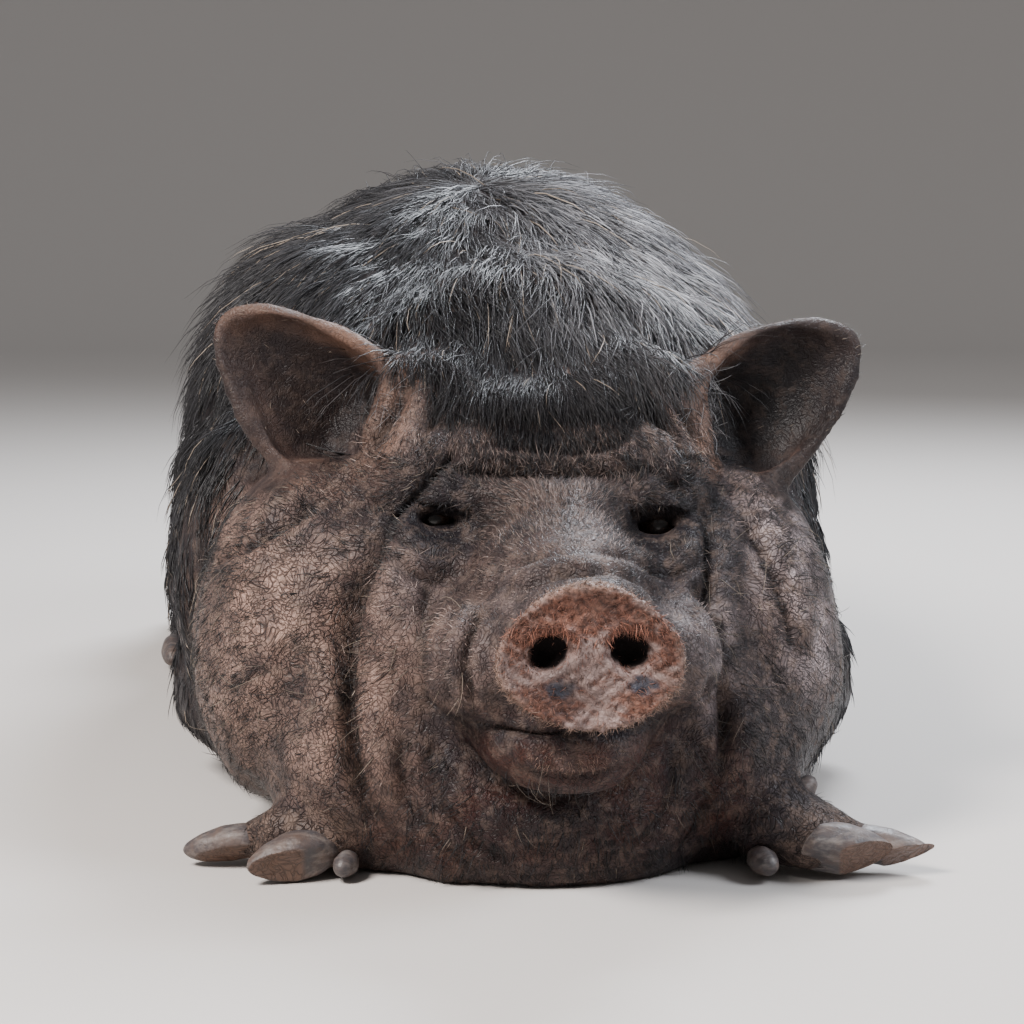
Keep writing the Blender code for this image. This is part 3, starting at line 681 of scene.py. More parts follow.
    # Painted shade deep in the ears, near their bases.
    painted_ear_shade = most(1.5 * ball(points, (.108, -.320, .228), (.046, .05, .044)),
                  0.7 * ball(points, (-.100, -.318, .212), (.026, .04, .026)))
    colour = blended(colour, (0.006, 0.005, 0.006), 1.1 * inside * painted_ear_shade)
    edge = 0.0018 * drift(points, 0.010, 23)
    disc = step(-y + edge, 0.478, 0.485)
    ragged = drift(points, 0.006, 21)
    grit = 0.5 + 0.5 * drift(points, 0.0028, 24)
    colour = blended(colour, DISC, disc * (0.75 + 0.25 * fleck))
    face_on = step(-y, 0.496, 0.502)
    mud = most(
        1.2 * ball(points, (.000, -.507, .147), (.026, .02, .011)),
        1.4 * ball(points, (-.024, -.507, .105), (.018, .02, .010)),
        1.4 * ball(points, (.029, -.507, .106), (.014, .02, .010)),
        ball(points, (-.017, -.507, .139), (.014, .02, .008)),
        ball(points, (.018, -.507, .139), (.014, .02, .008)),
        0.9 * ball(points, (-.031, -.502, .137), (.008, .02, .012)),
        0.9 * ball(points, (.035, -.502, .132), (.008, .02, .016)),
        0.15 * ball(points, (.000, -.507, .112), (.020, .02, .018)))
    mud = step(mud + 0.30 * ragged, 0.05, 0.75)
    colour = blended(colour, RUST, disc * mud)
    colour = blended(colour, CLAY_AND_PAINTED_SHADE, disc * (0.30 + 0.6 * mud) * step(grit, 0.40, 0.85))
    away = from_disc(points, *DISC_REACH)
    rim = disc * np.exp(-((away - 0.97) / 0.07) ** 2) * step(z, 0.100, 0.112)
    colour = blended(colour, (0.36, 0.23, 0.18), rim * (0.35 + 0.4 * fleck))
    slate = most(ball(points, (-.0135, -.507, .1125), (.008, .02, .005)),
                 ball(points, (.0235, -.507, .1140), (.008, .02, .005)))
    colour = blended(colour, SLATE, face_on * step(slate + 0.15 * ragged, 0.35, 0.7))
    # Painted shade: near black inside the nostrils.
    painted_nostril_shade = most(ball(points, (-.0175, -.490, .1285), (.0125, .014, .0105)),
                ball(points, (.0175, -.490, .1285), (.0125, .014, .0105)))
    colour = blended(colour, (.004, .002, .002), disc * step(painted_nostril_shade, 0.26, 0.5) * step(y, -.505, -.500))
    return colour


def set_colour(mesh, name, colour, leather=1.0):
    """Store a colour at each point, and beside it how crackled the hide is there."""
    layer = mesh.attributes.new(name, "FLOAT_COLOR", "POINT")
    filled = np.ones((len(colour), 4))
    filled[:, :3] = colour
    filled[:, 3] = leather
    layer.data.foreach_set("color", filled.ravel())


skin_points = numbers(skin.data.vertices, "co", 3)
skin_normals = numbers(skin.data.vertex_normals, "vector", 3)
hide_colour = markings(skin_points, skin_normals)
# Painted shade: the hide darkened in every fold by how deep it is.
hide_colour = blended(hide_colour, (0.010, 0.008, 0.008), 0.8 * painted_fold_shade)
leather = 1 - 0.55 * step(-skin_points[:, 1], 0.476, 0.482)
leather *= 1 + 0.5 * step(np.abs(skin_points[:, 0]), 0.085, 0.11) * step(-skin_points[:, 1], 0.30, 0.34)
leather *= 1 - 0.6 * on_ear(skin_points)
leather *= 1 - 0.7 * step(skin_points[:, 1], -0.28, -0.18)
for side in (-1, 1):
    nostril = ball(skin_points, (side * 0.0175, -0.490, 0.1285), (.0125, .014, .0105))
    leather[(nostril > 0.35) & (skin_points[:, 1] > -0.503)] = 0
set_colour(skin.data, "markings", hide_colour, leather)


class Amount:
    """A number that varies over a surface."""

    def __init__(self, finish, socket):
        self.finish = finish
        self.socket = socket

    def worked(self, operation, first, second):
        node = self.finish.node("ShaderNodeMath", {"operation": operation}, {0: first, 1: second})
        return Amount(self.finish, node.outputs[0])

    def __add__(self, other):
        return self.worked("ADD", self, other)

    __radd__ = __add__

    def __sub__(self, other):
        return self.worked("SUBTRACT", self, other)

    def __rsub__(self, other):
        return self.worked("SUBTRACT", other, self)

    def __mul__(self, other):
        return self.worked("MULTIPLY", self, other)

    __rmul__ = __mul__

    def __gt__(self, other):
        return self.worked("GREATER_THAN", self, other)


class Finish:
    """One material, built up node by node."""

    def __init__(self, name, **constants):
        self.material = bpy.data.materials.new(name)
        self.material.use_nodes = True
        self.tree = self.material.node_tree
        self.surface = self.tree.nodes["Principled BSDF"]
        for key, value in constants.items():
            self.surface.inputs[key.replace("_", " ")].default_value = value

    def node(self, kind, settings, inputs):
        made = self.tree.nodes.new(kind)
        for key, value in settings.items():
            if key == "stops":
                for element, (place, shade) in zip(made.color_ramp.elements, value):
                    element.position = place
                    element.color = (shade, shade, shade, 1)
            else:
                setattr(made, key, value)
        for key, value in inputs.items():
            self.feed(made.inputs[key], value)
        return made

    def feed(self, socket, value):
        value = getattr(value, "socket", value)
        if isinstance(value, bpy.types.NodeSocket):
            self.tree.links.new(value, socket)
        elif isinstance(value, tuple) and len(value) == 3 and socket.type == "RGBA":
            socket.default_value = (*value, 1)
        else:
            socket.default_value = value

    def place(self):
        return self.node("ShaderNodeTexCoord", {}, {}).outputs["Object"]

    def attribute(self, name, output="Color"):
        return self.node("ShaderNodeAttribute", {"attribute_name": name}, {}).outputs[output]

    def noise(self, scale, detail=3.0, vector=None, rough=0.55):
        inputs = {"Vector": vector or self.place(), "Scale": scale, "Detail": detail,
                  "Roughness": rough}
        return Amount(self, self.node("ShaderNodeTexNoise", {}, inputs).outputs[0])

    def cracks(self, scale, vector=None):
        node = self.node("ShaderNodeTexVoronoi", {"feature": "DISTANCE_TO_EDGE"},
                         {"Vector": vector or self.place(), "Scale": scale})
        return Amount(self, node.outputs["Distance"])

    def ramp(self, value, low, high):
        """0 below low, 1 above high."""
        node = self.node("ShaderNodeValToRGB", {"stops": ((low, 0), (high, 1))}, {0: value})
        return Amount(self, node.outputs[0])

    def mixed(self, factor, first, second, kind="MIX"):
        node = self.node("ShaderNodeMix", {"data_type": "RGBA", "blend_type": kind},
                         {0: factor, 6: first, 7: second})
        return node.outputs[2]

    def moved(self, amount, vector=None, scale=20.0):
        """Coordinates pushed about a little, so that a pattern has no straight lines."""
        vector = vector or self.place()
        noise = self.node("ShaderNodeTexNoise", {}, {
            "Vector": vector, "Scale": scale, "Detail": 0.0}).outputs[1]
        push = self.node("ShaderNodeVectorMath", {"operation": "SCALE"}, {0: noise, 3: amount})
        return self.node("ShaderNodeVectorMath", {"operation": "ADD"},
                         {0: vector, 1: push.outputs[0]}).outputs[0]

    def finished(self, colour, roughness, height=None, depth=0.001, strength=1.0):
        self.feed(self.surface.inputs["Base Color"], colour)
        self.feed(self.surface.inputs["Roughness"], roughness)
        if height is not None:
            bump = self.node("ShaderNodeBump", {}, {
                "Height": height, "Distance": depth, "Strength": strength})
            self.feed(self.surface.inputs["Normal"], bump.outputs[0])
        return self.material


def hide_finish():
    """Crackled leather with pores, dull where it is dusty, and rough inside the nostrils."""
    finish = Finish("hide", Specular_IOR_Level=0.20)
    marks = finish.attribute("markings")
    leather = Amount(finish, finish.attribute("markings", "Alpha"))
    bent = finish.moved(0.012, scale=70.0)
    bent = finish.moved(0.004, vector=bent, scale=260.0)
    lines = 1 - finish.ramp(finish.cracks(360.0, bent), 0.0, 0.13)
    small = 1 - finish.ramp(finish.cracks(900.0, bent), 0.0, 0.22)
    pores = finish.noise(1400.0, 1.0)
    broad = finish.noise(34.0, 2.0)
    dust = finish.ramp(finish.noise(120.0, 3.0, rough=0.75), 0.47, 0.68)
    colour = finish.mixed(0.60 * lines * leather, marks, (0.011, 0.009, 0.009))
    colour = finish.mixed(0.40 * small * leather, colour, (0.014, 0.011, 0.011))
    colour = finish.mixed(finish.ramp(broad, 0.40, 0.62) * 0.50, colour, (0.016, 0.013, 0.015))
    colour = finish.mixed(0.18 * dust * leather, colour, (0.34, 0.24, 0.19))
    height = 0.5 * pores + 0.3 * broad + 0.35 * dust - 0.6 * lines * leather
    rough = 0.36 + 0.25 * dust + 0.12 * pores + 0.5 * (0.05 - leather > 0)
    return finish.finished(colour, rough, height, 0.0010, 0.7)


skin.data.materials.clear()
skin.data.materials.append(hide_finish())
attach(skin, "root")
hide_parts(*FLESH)

# Coat: black bristles, long and thick over the crown, neck and back, where they lie outward
# from the crest, thinner on the flanks, sparse on the jowls, and short and fine on face and
# feet. Each bristle is a solid tapered spike with three sides, rooted in the skin.
skin.data.calc_loop_triangles()
CORNERS = numbers(skin.data.loop_triangles, "vertices", 3, np.int64)
CORNER_LOOPS = numbers(skin.data.loop_triangles, "loops", 3, np.int64)
CORNER_UV = numbers(skin.data.uv_layers["OFBake"].uv, "vector", 2)[CORNER_LOOPS]
TRIANGLES = skin_points[CORNERS]
CROSSES = np.cross(TRIANGLES[:, 1] - TRIANGLES[:, 0], TRIANGLES[:, 2] - TRIANGLES[:, 0])
AREAS = np.linalg.norm(CROSSES, axis=1) / 2
MIDDLES = TRIANGLES.mean(axis=1)
PATCH = 0.003
ROOT_DEPTH = 0.0006
LOWEST_BRISTLE = 0.0006
LOCK_SIZE = 14
CREST = (-0.015, -0.060, 0.295)
NOSE = (0.0, -0.540, 0.150)


def on_leg(points):
    """1 on either forefoot."""
    x, y, z = points.T
    fore = (z < 0.062) & (np.abs(x) > 0.10) & (y < -0.335) & (y < -0.36 - 0.4 * (z - 0.03))
    return fore.astype(float)


def bare(points):
    """1 where nothing grows: the snout, the lids and what lies on the ground."""
    _, y, z = points.T
    gone = (y < -0.478) & (z > 0.088)
    gone |= z < 0.004
    for eye in (RIGHT_EYE, LEFT_EYE):
        gone |= ball(points, eye, (.0165, .03, .0080)) > 0.35
    return gone


class Roots:
    """Where the bristles of one piece grow, and the random numbers that vary them."""

    def __init__(self, places, normals, flat, rng):
        self.places, self.normals, self.flat, self.rng = places, normals, flat, rng
        self.count = len(places)

    def some(self, chosen, seed):
        rng = np.random.default_rng(seed)
        return Roots(self.places[chosen], self.normals[chosen], self.flat[chosen], rng)

    def between(self, low, high):
        return self.rng.uniform(low, high, self.count)

    def around(self, middle, spread, low, high):
        return np.clip(middle + spread * self.rng.normal(size=self.count), low, high)

    def heading(self, x, y, z):
        """One way for all the bristles, save for a number that differs from root to root."""
        return np.stack([np.broadcast_to(part, self.count) for part in (x, y, z)], axis=1)


def sow(count, density, seed, everywhere=False):
    """The roots of some bristles, by density over the skin."""
    rng = np.random.default_rng(seed)
    chances = AREAS * density(MIDDLES) * (1.0 if everywhere else ~bare(MIDDLES))
    chances = np.cumsum(chances)
    picks = np.searchsorted(chances, rng.uniform(0, chances[-1], count))
    u, v = rng.random(count), rng.random(count)
    over = u + v > 1
    u[over], v[over] = 1 - u[over], 1 - v[over]
    shares = np.stack([1 - u - v, u, v], axis=1)[:, :, None]
    places = (TRIANGLES[picks] * shares).sum(axis=1)
    normals = unit((skin_normals[CORNERS[picks]] * shares).sum(axis=1))
    flat = (CORNER_UV[picks] * shares).sum(axis=1)
    return Roots(places, normals, flat, rng)


def lie(roots, seed):
    """The way the coat lies at each root: outward from the crest, and back from the nose."""
    points, normals = roots.places, roots.normals
    x, y, z = points.T
    outward = unit(points - np.array(CREST)) * np.array((1.15, 1.0, 1.0))
    outward[:, 1] += 0.6 * step(y, -0.07, 0.02)
    nose = unit(points - np.array(NOSE)) + np.array((0, 0.15, -0.35))
    parting = 0.008 * drift(points, 0.022, seed + 5)
    top = step(z + 0.4 * parting, 0.197, 0.205) * step(0.092 - np.abs(x), 0, 0.02)
    behind = np.maximum(top, step(y + parting, -0.320, -0.260))[:, None]
    way = behind * outward + (1 - behind) * nose
    turn = drift(points, 0.045, seed)[:, None]
    lock = drift(points, 0.013, seed + 1)[:, None]
    return unit(way) + (0.24 * turn + 0.10 * lock) * np.cross(normals, unit(way))


def to_locks(roots):
    """From each root to the middle of the lock that it belongs to."""
    count = max(1, roots.count // LOCK_SIZE)
    middles = roots.places[roots.rng.choice(roots.count, count, replace=False)]
    tree = KDTree(count)
    for index, middle in enumerate(middles):
        tree.insert(middle, index)
    tree.balance()
    return middles[[tree.find(place)[1] for place in roots.places]] - roots.places


def bristles(name, roots, way, length, width, lift, droop, tint, rings=3, jitter=0.10, lock=0.0):
    """One piece of the coat: a three-sided tapered spike at each root."""
    normals, rng, count = roots.normals, roots.rng, roots.count
    lift = np.broadcast_to(lift, count)
    lock = np.broadcast_to(lock, count)[:, None]
    gather = lock * to_locks(roots) if lock.any() else np.zeros((count, 3))
    way = way + jitter * rng.normal(size=(count, 3))
    way = unit(way - normals * np.sum(way * normals, axis=1)[:, None])
    across = np.cross(normals, way)
    bend = rng.normal(size=count) * 0.10
    parts = np.linspace(0, 1, rings + 1)
    points = np.empty((count, 3 * rings + 1, 3))
    tone = np.empty((count, 3 * rings + 1))
    patch = np.empty((count, 3 * rings + 1, 2))
    for k, part in enumerate(parts):
        centre = roots.places - normals * ROOT_DEPTH + (length * part)[:, None] * (
            way * (1 - 0.12 * part) + across * (bend * part)[:, None]
            + normals * (lift - droop * part)[:, None]) + gather * part ** 1.4
        if k == rings:
            points[:, -1] = centre
            tone[:, -1] = part
            patch[:, -1] = roots.flat + np.array((PATCH * (part - 0.5), 0.0))
            continue
        radius = width * (1 - 0.78 * part ** 1.3) / 2
        for corner in range(3):
            angle = 2 * pi * corner / 3 + pi / 2
            offset = across * cos(angle) + normals * sin(angle)
            points[:, 3 * k + corner] = centre + offset * radius[:, None]
            tone[:, 3 * k + corner] = part
            patch[:, 3 * k + corner] = roots.flat + PATCH * np.array((part - 0.5, (corner - 1) * 0.4))
    points[:, :, 2] = np.maximum(points[:, :, 2], LOWEST_BRISTLE)
    faces = []
    for k in range(rings - 1):
        for corner in range(3):
            a, b = 3 * k + corner, 3 * k + (corner + 1) % 3
            faces += [(a, b, b + 3), (a, b + 3, a + 3)]
    last = 3 * (rings - 1)
    faces += [(last + c, last + (c + 1) % 3, 3 * rings) for c in range(3)]
    faces.append((2, 1, 0))
    faces = np.array(faces)
    size = 3 * rings + 1
    corners = (faces[None] + (np.arange(count) * size)[:, None, None]).reshape(-1, 3)
    mesh = bpy.data.meshes.new(name)
    mesh.vertices.add(count * size)
    mesh.vertices.foreach_set("co", points.ravel())
    mesh.loops.add(corners.size)
    mesh.loops.foreach_set("vertex_index", corners.ravel())
    mesh.polygons.add(len(corners))
    mesh.polygons.foreach_set("loop_start", np.arange(len(corners)) * 3)
    mesh.update(calc_edges=True)
    mesh.shade_smooth()
    layer = mesh.uv_layers.new(name="OFBake")
    layer.uv.foreach_set("vector", patch.reshape(-1, 2)[corners.ravel()].ravel())
    shade = (0.75 + 0.55 * tone)[:, :, None] * tint[:, None, :]
    set_colour(mesh, "markings", shade.reshape(-1, 3))
    thing = add_to_scene(name, mesh)
    thing.data.materials.append(coat_material)
    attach(thing, "root")


def coat_finish():
    finish = Finish("bristle", Specular_IOR_Level=0.40)
    return finish.finished(finish.mixed(0.17, finish.attribute("markings"), (0.010, 0.010, 0.012)), 0.42)


coat_material = coat_finish()

BLACK = np.array((0.0125, 0.0120, 0.0135))
# blue grey of the ear wisps, and the painted sheen on the crest bristles
GREY_AND_PAINTED_SHEEN = np.array((0.250, 0.250, 0.266))
PALE = np.array((0.36, 0.29, 0.23))


def tints(roots, pale=0.01, warmth=0.12):
    """The colour of each bristle: near black, with the hide's colour in it, a painted blue grey sheen
    over the top of the head and neck, and a few pale ones.
    """
    places, rng, count = roots.places, roots.rng, roots.count
    base = BLACK * (rng.uniform(0.5, 1.8, count) * (1 + 0.45 * drift(places, 0.011, 17)))[:, None]
    base = base + warmth * markings(places, roots.normals) * rng.uniform(0, 1.2, count)[:, None]
    # Painted sheen: blue grey over the top of the head and neck, as if the sky shone on the bristles.
    painted_sheen = step(places[:, 0], -0.06, 0.07) * step(places[:, 2], 0.240, 0.300)
    painted_sheen = painted_sheen * (1 + 0.5 * drift(places, 0.016, 18)) + 0.07 * step(places[:, 2], 0.230, 0.290)
    painted_sheen *= step(-places[:, 1], -0.12, 0.05) * rng.uniform(0.1, 1.4, count)
    base = base + GREY_AND_PAINTED_SHEEN * np.maximum(painted_sheen, 0)[:, None]
    light = rng.random(count) < pale
    base[light] = PALE * rng.uniform(0.5, 1.1, light.sum())[:, None]
    return base


def body_density(points):
    _, y, z = points.T
    behind = step(y, -0.300, -0.270)
    upper = 0.60 + 0.35 * step(z, 0.06, 0.20) + 0.80 * step(z, 0.22, 0.30)
    front = 1.0 - 0.55 * step(y, 0.02, 0.20)
    return behind * upper * front * (1 - on_ear(points)) * (y < 0.452)


# The body's coat from front to back: bristles, and rings of corners in each.
BODY_PIECES = {
    "coat_neck": (10000, 3), "coat_shoulders": (9500, 3), "coat_ribs": (8500, 2),
    "coat_loin": (8000, 2), "coat_rump": (8000, 2),
}
body = sow(sum(count for count, _ in BODY_PIECES.values()), body_density, 101)
order = np.argsort(body.places[:, 1])
for k, (name, (count, rings)) in enumerate(BODY_PIECES.items()):
    chosen, order = order[:count], order[count:]
    roots = body.some(chosen, 200 + k)
    x, y, z = roots.places.T
    high = step(z, 0.14, 0.27)
    left = step(x, 0.10, 0.16) * step(-y, -0.10, 0.0)
    length = 0.018 + 0.010 * step(z, 0.03, 0.12) + 0.042 * high * (1 - 0.55 * step(y, 0.05, 0.35))
    length *= roots.between(0.55, 1.2) * (1 - 0.25 * left)
    lift = 0.11 + 0.11 * high + 0.06 * roots.rng.normal(size=count) + 0.09 * drift(roots.places, 0.03, 7)
    bristles(name, roots, lie(roots, 31), length,
             roots.between(0.00055, 0.0011) * (1 + 0.6 * step(y, 0.05, 0.2)),
             np.clip(lift, 0.05, 0.6), 0.10 + length * 3.0, tints(roots, 0.018),
             rings=rings, jitter=0.08, lock=0.08 + 0.45 * high)


def crown_density(points):
    """Down to the forehead, where the hair ends in a ragged line, highest at the sides."""
    x, y, z = points.T
    half = 0.050 + 0.030 * step(z, 0.215, 0.255) + 0.004 * drift(points, 0.015, 33)
    low = 0.009 * drift(points, 0.026, 34) + 0.004 * drift(points, 0.009, 36) - 0.22 * np.abs(x + 0.003)
    top = step(z + low, 0.184, 0.212) * step(-y, 0.255, 0.275) * step(half - np.abs(x + 0.003), 0, 0.010)
    middle = 0.25 + ball(points, (0.004, -0.325, 0.235), (.045, .09, .08))
    middle *= 0.40 + 0.60 * step(z, 0.205, 0.236)
    return top * middle * (1 - on_ear(points))


roots = sow(10500, crown_density, 103)
x, y, z = roots.places.T
low = step(-y, 0.300, 0.365)
wide = step(np.abs(x), 0.045, 0.080)
length = (0.058 - 0.034 * low) * (1 - 0.5 * wide) * roots.between(0.40, 1.30)
length *= 0.60 + 0.40 * step(z, 0.205, 0.232)
bristles("coat_crown", roots, lie(roots, 31), length, roots.between(0.0005, 0.0009) * (1 - 0.35 * low),
         roots.around(0.20, 0.09, 0.05, 0.8), 0.10 + length * 6.5, tints(roots, 0.012),
         jitter=0.11, lock=0.55)


def guard_density(points):
    _, y, z = points.T
    return step(z, 0.17, 0.27) * step(y, -0.33, -0.30) * step(0.22 - y, 0, 0.15) * (1 - on_ear(points))


roots = sow(2400, guard_density, 104)
length = roots.between(0.045, 0.075)
bristles("guard_hairs", roots, lie(roots, 31), length, roots.between(0.0005, 0.0008),
         roots.around(0.34, 0.12, 0.12, 0.8), 0.20 + length * 3.0, tints(roots, 0.06),
         rings=4, jitter=0.20, lock=0.3)


def jowl_density(points):
    x, y, z = points.T
    here = step(-y, 0.250, 0.290) * step(0.212 - z, 0, 0.02) * step(np.abs(x), 0.060, 0.085)
    here = np.maximum(here, step(-y, 0.30, 0.33) * step(0.075 - z, 0, 0.015))
    outer = 0.35 + 0.9 * step(np.abs(x), 0.13, 0.19) + 0.4 * step(0.05 - z, 0, 0.03)
    return here * outer * (1 - on_ear(points)) * (1 - on_leg(points))


roots = sow(9500, jowl_density, 105)
length = roots.between(0.008, 0.022)
bristles("coat_jowls", roots, lie(roots, 41), length, roots.between(0.00032, 0.0006),
         roots.around(0.10, 0.06, 0.03, 0.5), 0.04 + length * 2.5, tints(roots, 0.025, 0.06),
         rings=2, jitter=0.17, lock=0.5)


def whisker_density(points):
    x, y, z = points.T
    cheeks = step(-y, 0.30, 0.36) * step(np.abs(x), 0.045, 0.065) * step(0.175 - z, 0, 0.03)
    flank = 0.5 * step(-x, 0.15, 0.18) * step(z, 0.10, 0.14) * step(-y, 0.05, 0.15)
    chin = 0.4 * ball(points, (0, -0.46, 0.07), (.05, .05, .03))
    whole = (cheeks + flank + chin) * step(z, 0.045, 0.065)
    return whole * (1 - on_ear(points)) * (1 - on_leg(points))


roots = sow(520, whisker_density, 106)
length = roots.between(0.014, 0.036)
shade = PALE * (roots.rng.random(roots.count) ** 2 * 0.85 + 0.05)[:, None]
bristles("whiskers", roots, lie(roots, 43), length, roots.between(0.00025, 0.0004),
         roots.around(0.30, 0.15, 0.08, 0.8), 0.30 + length * 9.0, shade, rings=5, jitter=0.45)


def face_density(points):
    x, y, z = points.T
    here = step(-y, 0.330, 0.345) * step(0.125 - np.abs(x), 0, 0.02) * step(z, 0.045, 0.06)
    front = 1 + 0.9 * step(-y, 0.42, 0.45) * step(z, 0.08, 0.10)
    lips = 1.2 * np.exp(-((z - 0.084) / 0.010) ** 2) * step(-y, 0.415, 0.440)
    return here * (front + lips) * (1 - on_ear(points)) * (1 - 0.4 * step(0.075 - z, 0, 0.01))


GRIZZLE = np.array((0.290, 0.220, 0.195))
MOUTH_HAIR_AND_PAINTED_SHADE = (0.050, 0.014, 0.009)


def face_tints(roots):
    """Dark hairs with grizzled and brown ones between them, and dark red brown ones round the mouth and
    under the chin, partly painted shade.
    """
    x = roots.places[:, 0]
    shade = tints(roots, 0.02, 0.25)
    under = markings(roots.places, roots.normals)
    chance = np.clip(under.mean(axis=1) / 0.075, 0.04, 0.62)
    chance = chance * (1 - 0.60 * step(np.abs(x), 0.048, 0.075))
    light = roots.rng.random(roots.count) < chance * (1 - 0.15 * step(x, 0.0, 0.06))
    grizzle = GRIZZLE * roots.rng.uniform(0.15, 1.25, light.sum())[:, None]
    lit = np.clip(under[light].mean(axis=1) / 0.06, 0.10, 1.6)[:, None]
    shade[light] = grizzle * lit + 0.3 * under[light]
    # Dark red brown round the mouth and chin: partly hair colour, partly painted shade under the jaw.
    mouth = ball(roots.places, (-0.003, -0.460, 0.064), (.068, .07, .030))
    return blended(shade, MOUTH_HAIR_AND_PAINTED_SHADE, 1.4 * mouth)


roots = sow(16500, face_density, 107)
length = roots.between(0.0045, 0.0090) * (1 - 0.35 * step(-roots.places[:, 1], 0.42, 0.47))
bristles("coat_face", roots, lie(roots, 51), length, roots.between(0.00028, 0.00052),
         roots.around(0.17, 0.08, 0.04, 0.5), 0.05, face_tints(roots), rings=2, jitter=0.20, lock=0.2)


def brow_density(points):
    bridge = ball(points, (0.0, -0.405, 0.180), (.045, .07, .028))
    rolls = ball(points, (0.0, -0.365, 0.205), (.085, .05, .022))
    return (bridge + rolls) * step(-points[:, 1], 0.32, 0.34) * (1 - on_ear(points))


roots = sow(11500, brow_density, 108)
length = roots.between(0.0060, 0.0125) * (1 - 0.45 * step(-roots.places[:, 1], 0.41, 0.46))
bristles("coat_brow", roots, lie(roots, 51), length, roots.between(0.00030, 0.00055),
         roots.around(0.20, 0.08, 0.04, 0.6), 0.07, face_tints(roots), rings=2, jitter=0.18, lock=0.3)


def ear_density(points):
    rim = np.zeros(len(points))
    for path, _ in EAR_RIMS:
        rim = np.maximum(rim, step(-from_path(points, path, 0.030)[0], -0.014, -0.008))
    return np.maximum(rim, on_ear(points) * step(points[:, 1], -0.300, -0.285))


roots = sow(5000, ear_density, 109)
side = np.sign(roots.places[:, 0])
bristles("coat_ears", roots, roots.heading(0.8 * side, 0.25, 0.45), roots.between(0.003, 0.0075),
         roots.between(0.00022, 0.0004), roots.around(0.16, 0.08, 0.06, 0.6), 0.05,
         tints(roots, 0.10, 0.9), rings=2, jitter=0.2)


def wisp_density(points):
    return ball(points, (.082, -.318, .228), (.010, .02, .026)) + 0.3 * ball(
        points, (-.084, -.320, .226), (.010, .02, .022))


roots = sow(260, wisp_density, 110)
side = np.sign(roots.places[:, 0])
length = roots.between(0.012, 0.028)
shade = GREY_AND_PAINTED_SHEEN * roots.between(0.3, 1.2)[:, None]
bristles("ear_wisps", roots, roots.heading(-0.3 * side, -0.8, 0.2), length,
         roots.between(0.0002, 0.00035), 0.35, 0.3, shade, rings=4, jitter=0.45)


def snout_density(points):
    """Thick above the nostrils and on the lower lobes, with a fringe round the rim."""
    x, y, z = points.T
    face = step(-y, 0.488, 0.498)
    found = 0.12 + 0.35 * ball(points, (0, -.505, .148), (.030, .02, .014))
    for side in (-1, 1):
        ring = np.sqrt(((x - side * 0.0175) / 0.0115) ** 2 + ((z - 0.1300) / 0.0100) ** 2)
        found += 1.6 * np.exp(-((ring - 1.12) / 0.22) ** 2) * (0.10 + step(z, 0.131, 0.137))
        found += 0.6 * ball(points, (side * 0.027, -0.503, 0.107), (.017, .02, .011))
        found += 0.4 * ball(points, (side * 0.034, -0.500, 0.128), (.008, .02, .018))
    fringe = step(from_disc(points, *DISC_REACH), 0.90, 0.96) * step(-y, 0.474, 0.480)
    return found * face + 0.5 * fringe


SNOUT_EDGE = np.array((0.33, 0.215, 0.165))
roots = sow(7500, snout_density, 112, everywhere=True)
outer = step(from_disc(roots.places, *DISC_REACH), 0.86, 0.96)[:, None]
down = roots.heading(0.5 * np.tanh(roots.places[:, 0] / 0.02), -0.2, -0.55)
outward = unit(roots.places - np.array((0.0, -0.500, 0.127))) + np.array((0, 0.25, 0))
tone = roots.rng.random(roots.count)[:, None]
shade = np.array(CLAY_AND_PAINTED_SHADE) * (1 - tone) + np.array(RUST) * 1.9 * tone ** 1.5
edge = SNOUT_EDGE * roots.between(0.15, 1.1)[:, None]
bristles("coat_snout", roots, (1 - outer) * down + outer * outward, roots.between(0.0020, 0.0068),
         roots.between(0.00024, 0.00048), 0.32, 0.25, shade * (1 - outer) + edge * outer,
         rings=2, jitter=0.60)


def fibre_density(points):
    _, y, z = points.T
    found = np.zeros(len(points))
    for side in (-1, 1):
        above = ball(points, (side * 0.0185, -0.505, 0.1400), (.0125, .012, .0042))
        found += above * step(z, 0.1345, 0.1375)
    return (found + 0.25 * ball(points, (0, -.505, .140), (.030, .012, .006))) * step(-y, 0.490, 0.498)


roots = sow(520, fibre_density, 115, everywhere=True)
side = np.sign(roots.places[:, 0])
tone = roots.rng.random(roots.count)[:, None]
bristles("snout_fibres", roots, roots.heading(0.15 * side, -0.2, -1.0), roots.between(0.0045, 0.0105),
         roots.between(0.00026, 0.00046), roots.between(0.05, 0.35), 0.35,
         np.array(RUST) * (0.5 + 2.6 * tone), rings=4, jitter=0.40)


def leg_density(points):
    x, y, z = points.T
    hind = (y > 0.12) & (np.abs(x) > 0.165) & (z < 0.075) & (z > 0.004)
    return np.maximum(on_leg(points), 0.4 * hind) * (z > 0.004)


roots = sow(3600, leg_density, 111)
side = np.sign(roots.places[:, 0])
fore = roots.places[:, 1] < 0
bristles("coat_legs", roots, roots.heading(0.6 * side * fore, -0.6, -0.45), roots.between(0.005, 0.011),
         roots.between(0.00028, 0.00048), roots.around(0.14, 0.08, 0.05, 0.6), 0.08,
         tints(roots, 0.02, 0.3), rings=2, jitter=0.2)


def tail_density(points):
    _, y, z = points.T
    return step(y, 0.452, 0.456) * (0.5 + 2.5 * step(0.09 - z, 0, 0.04))


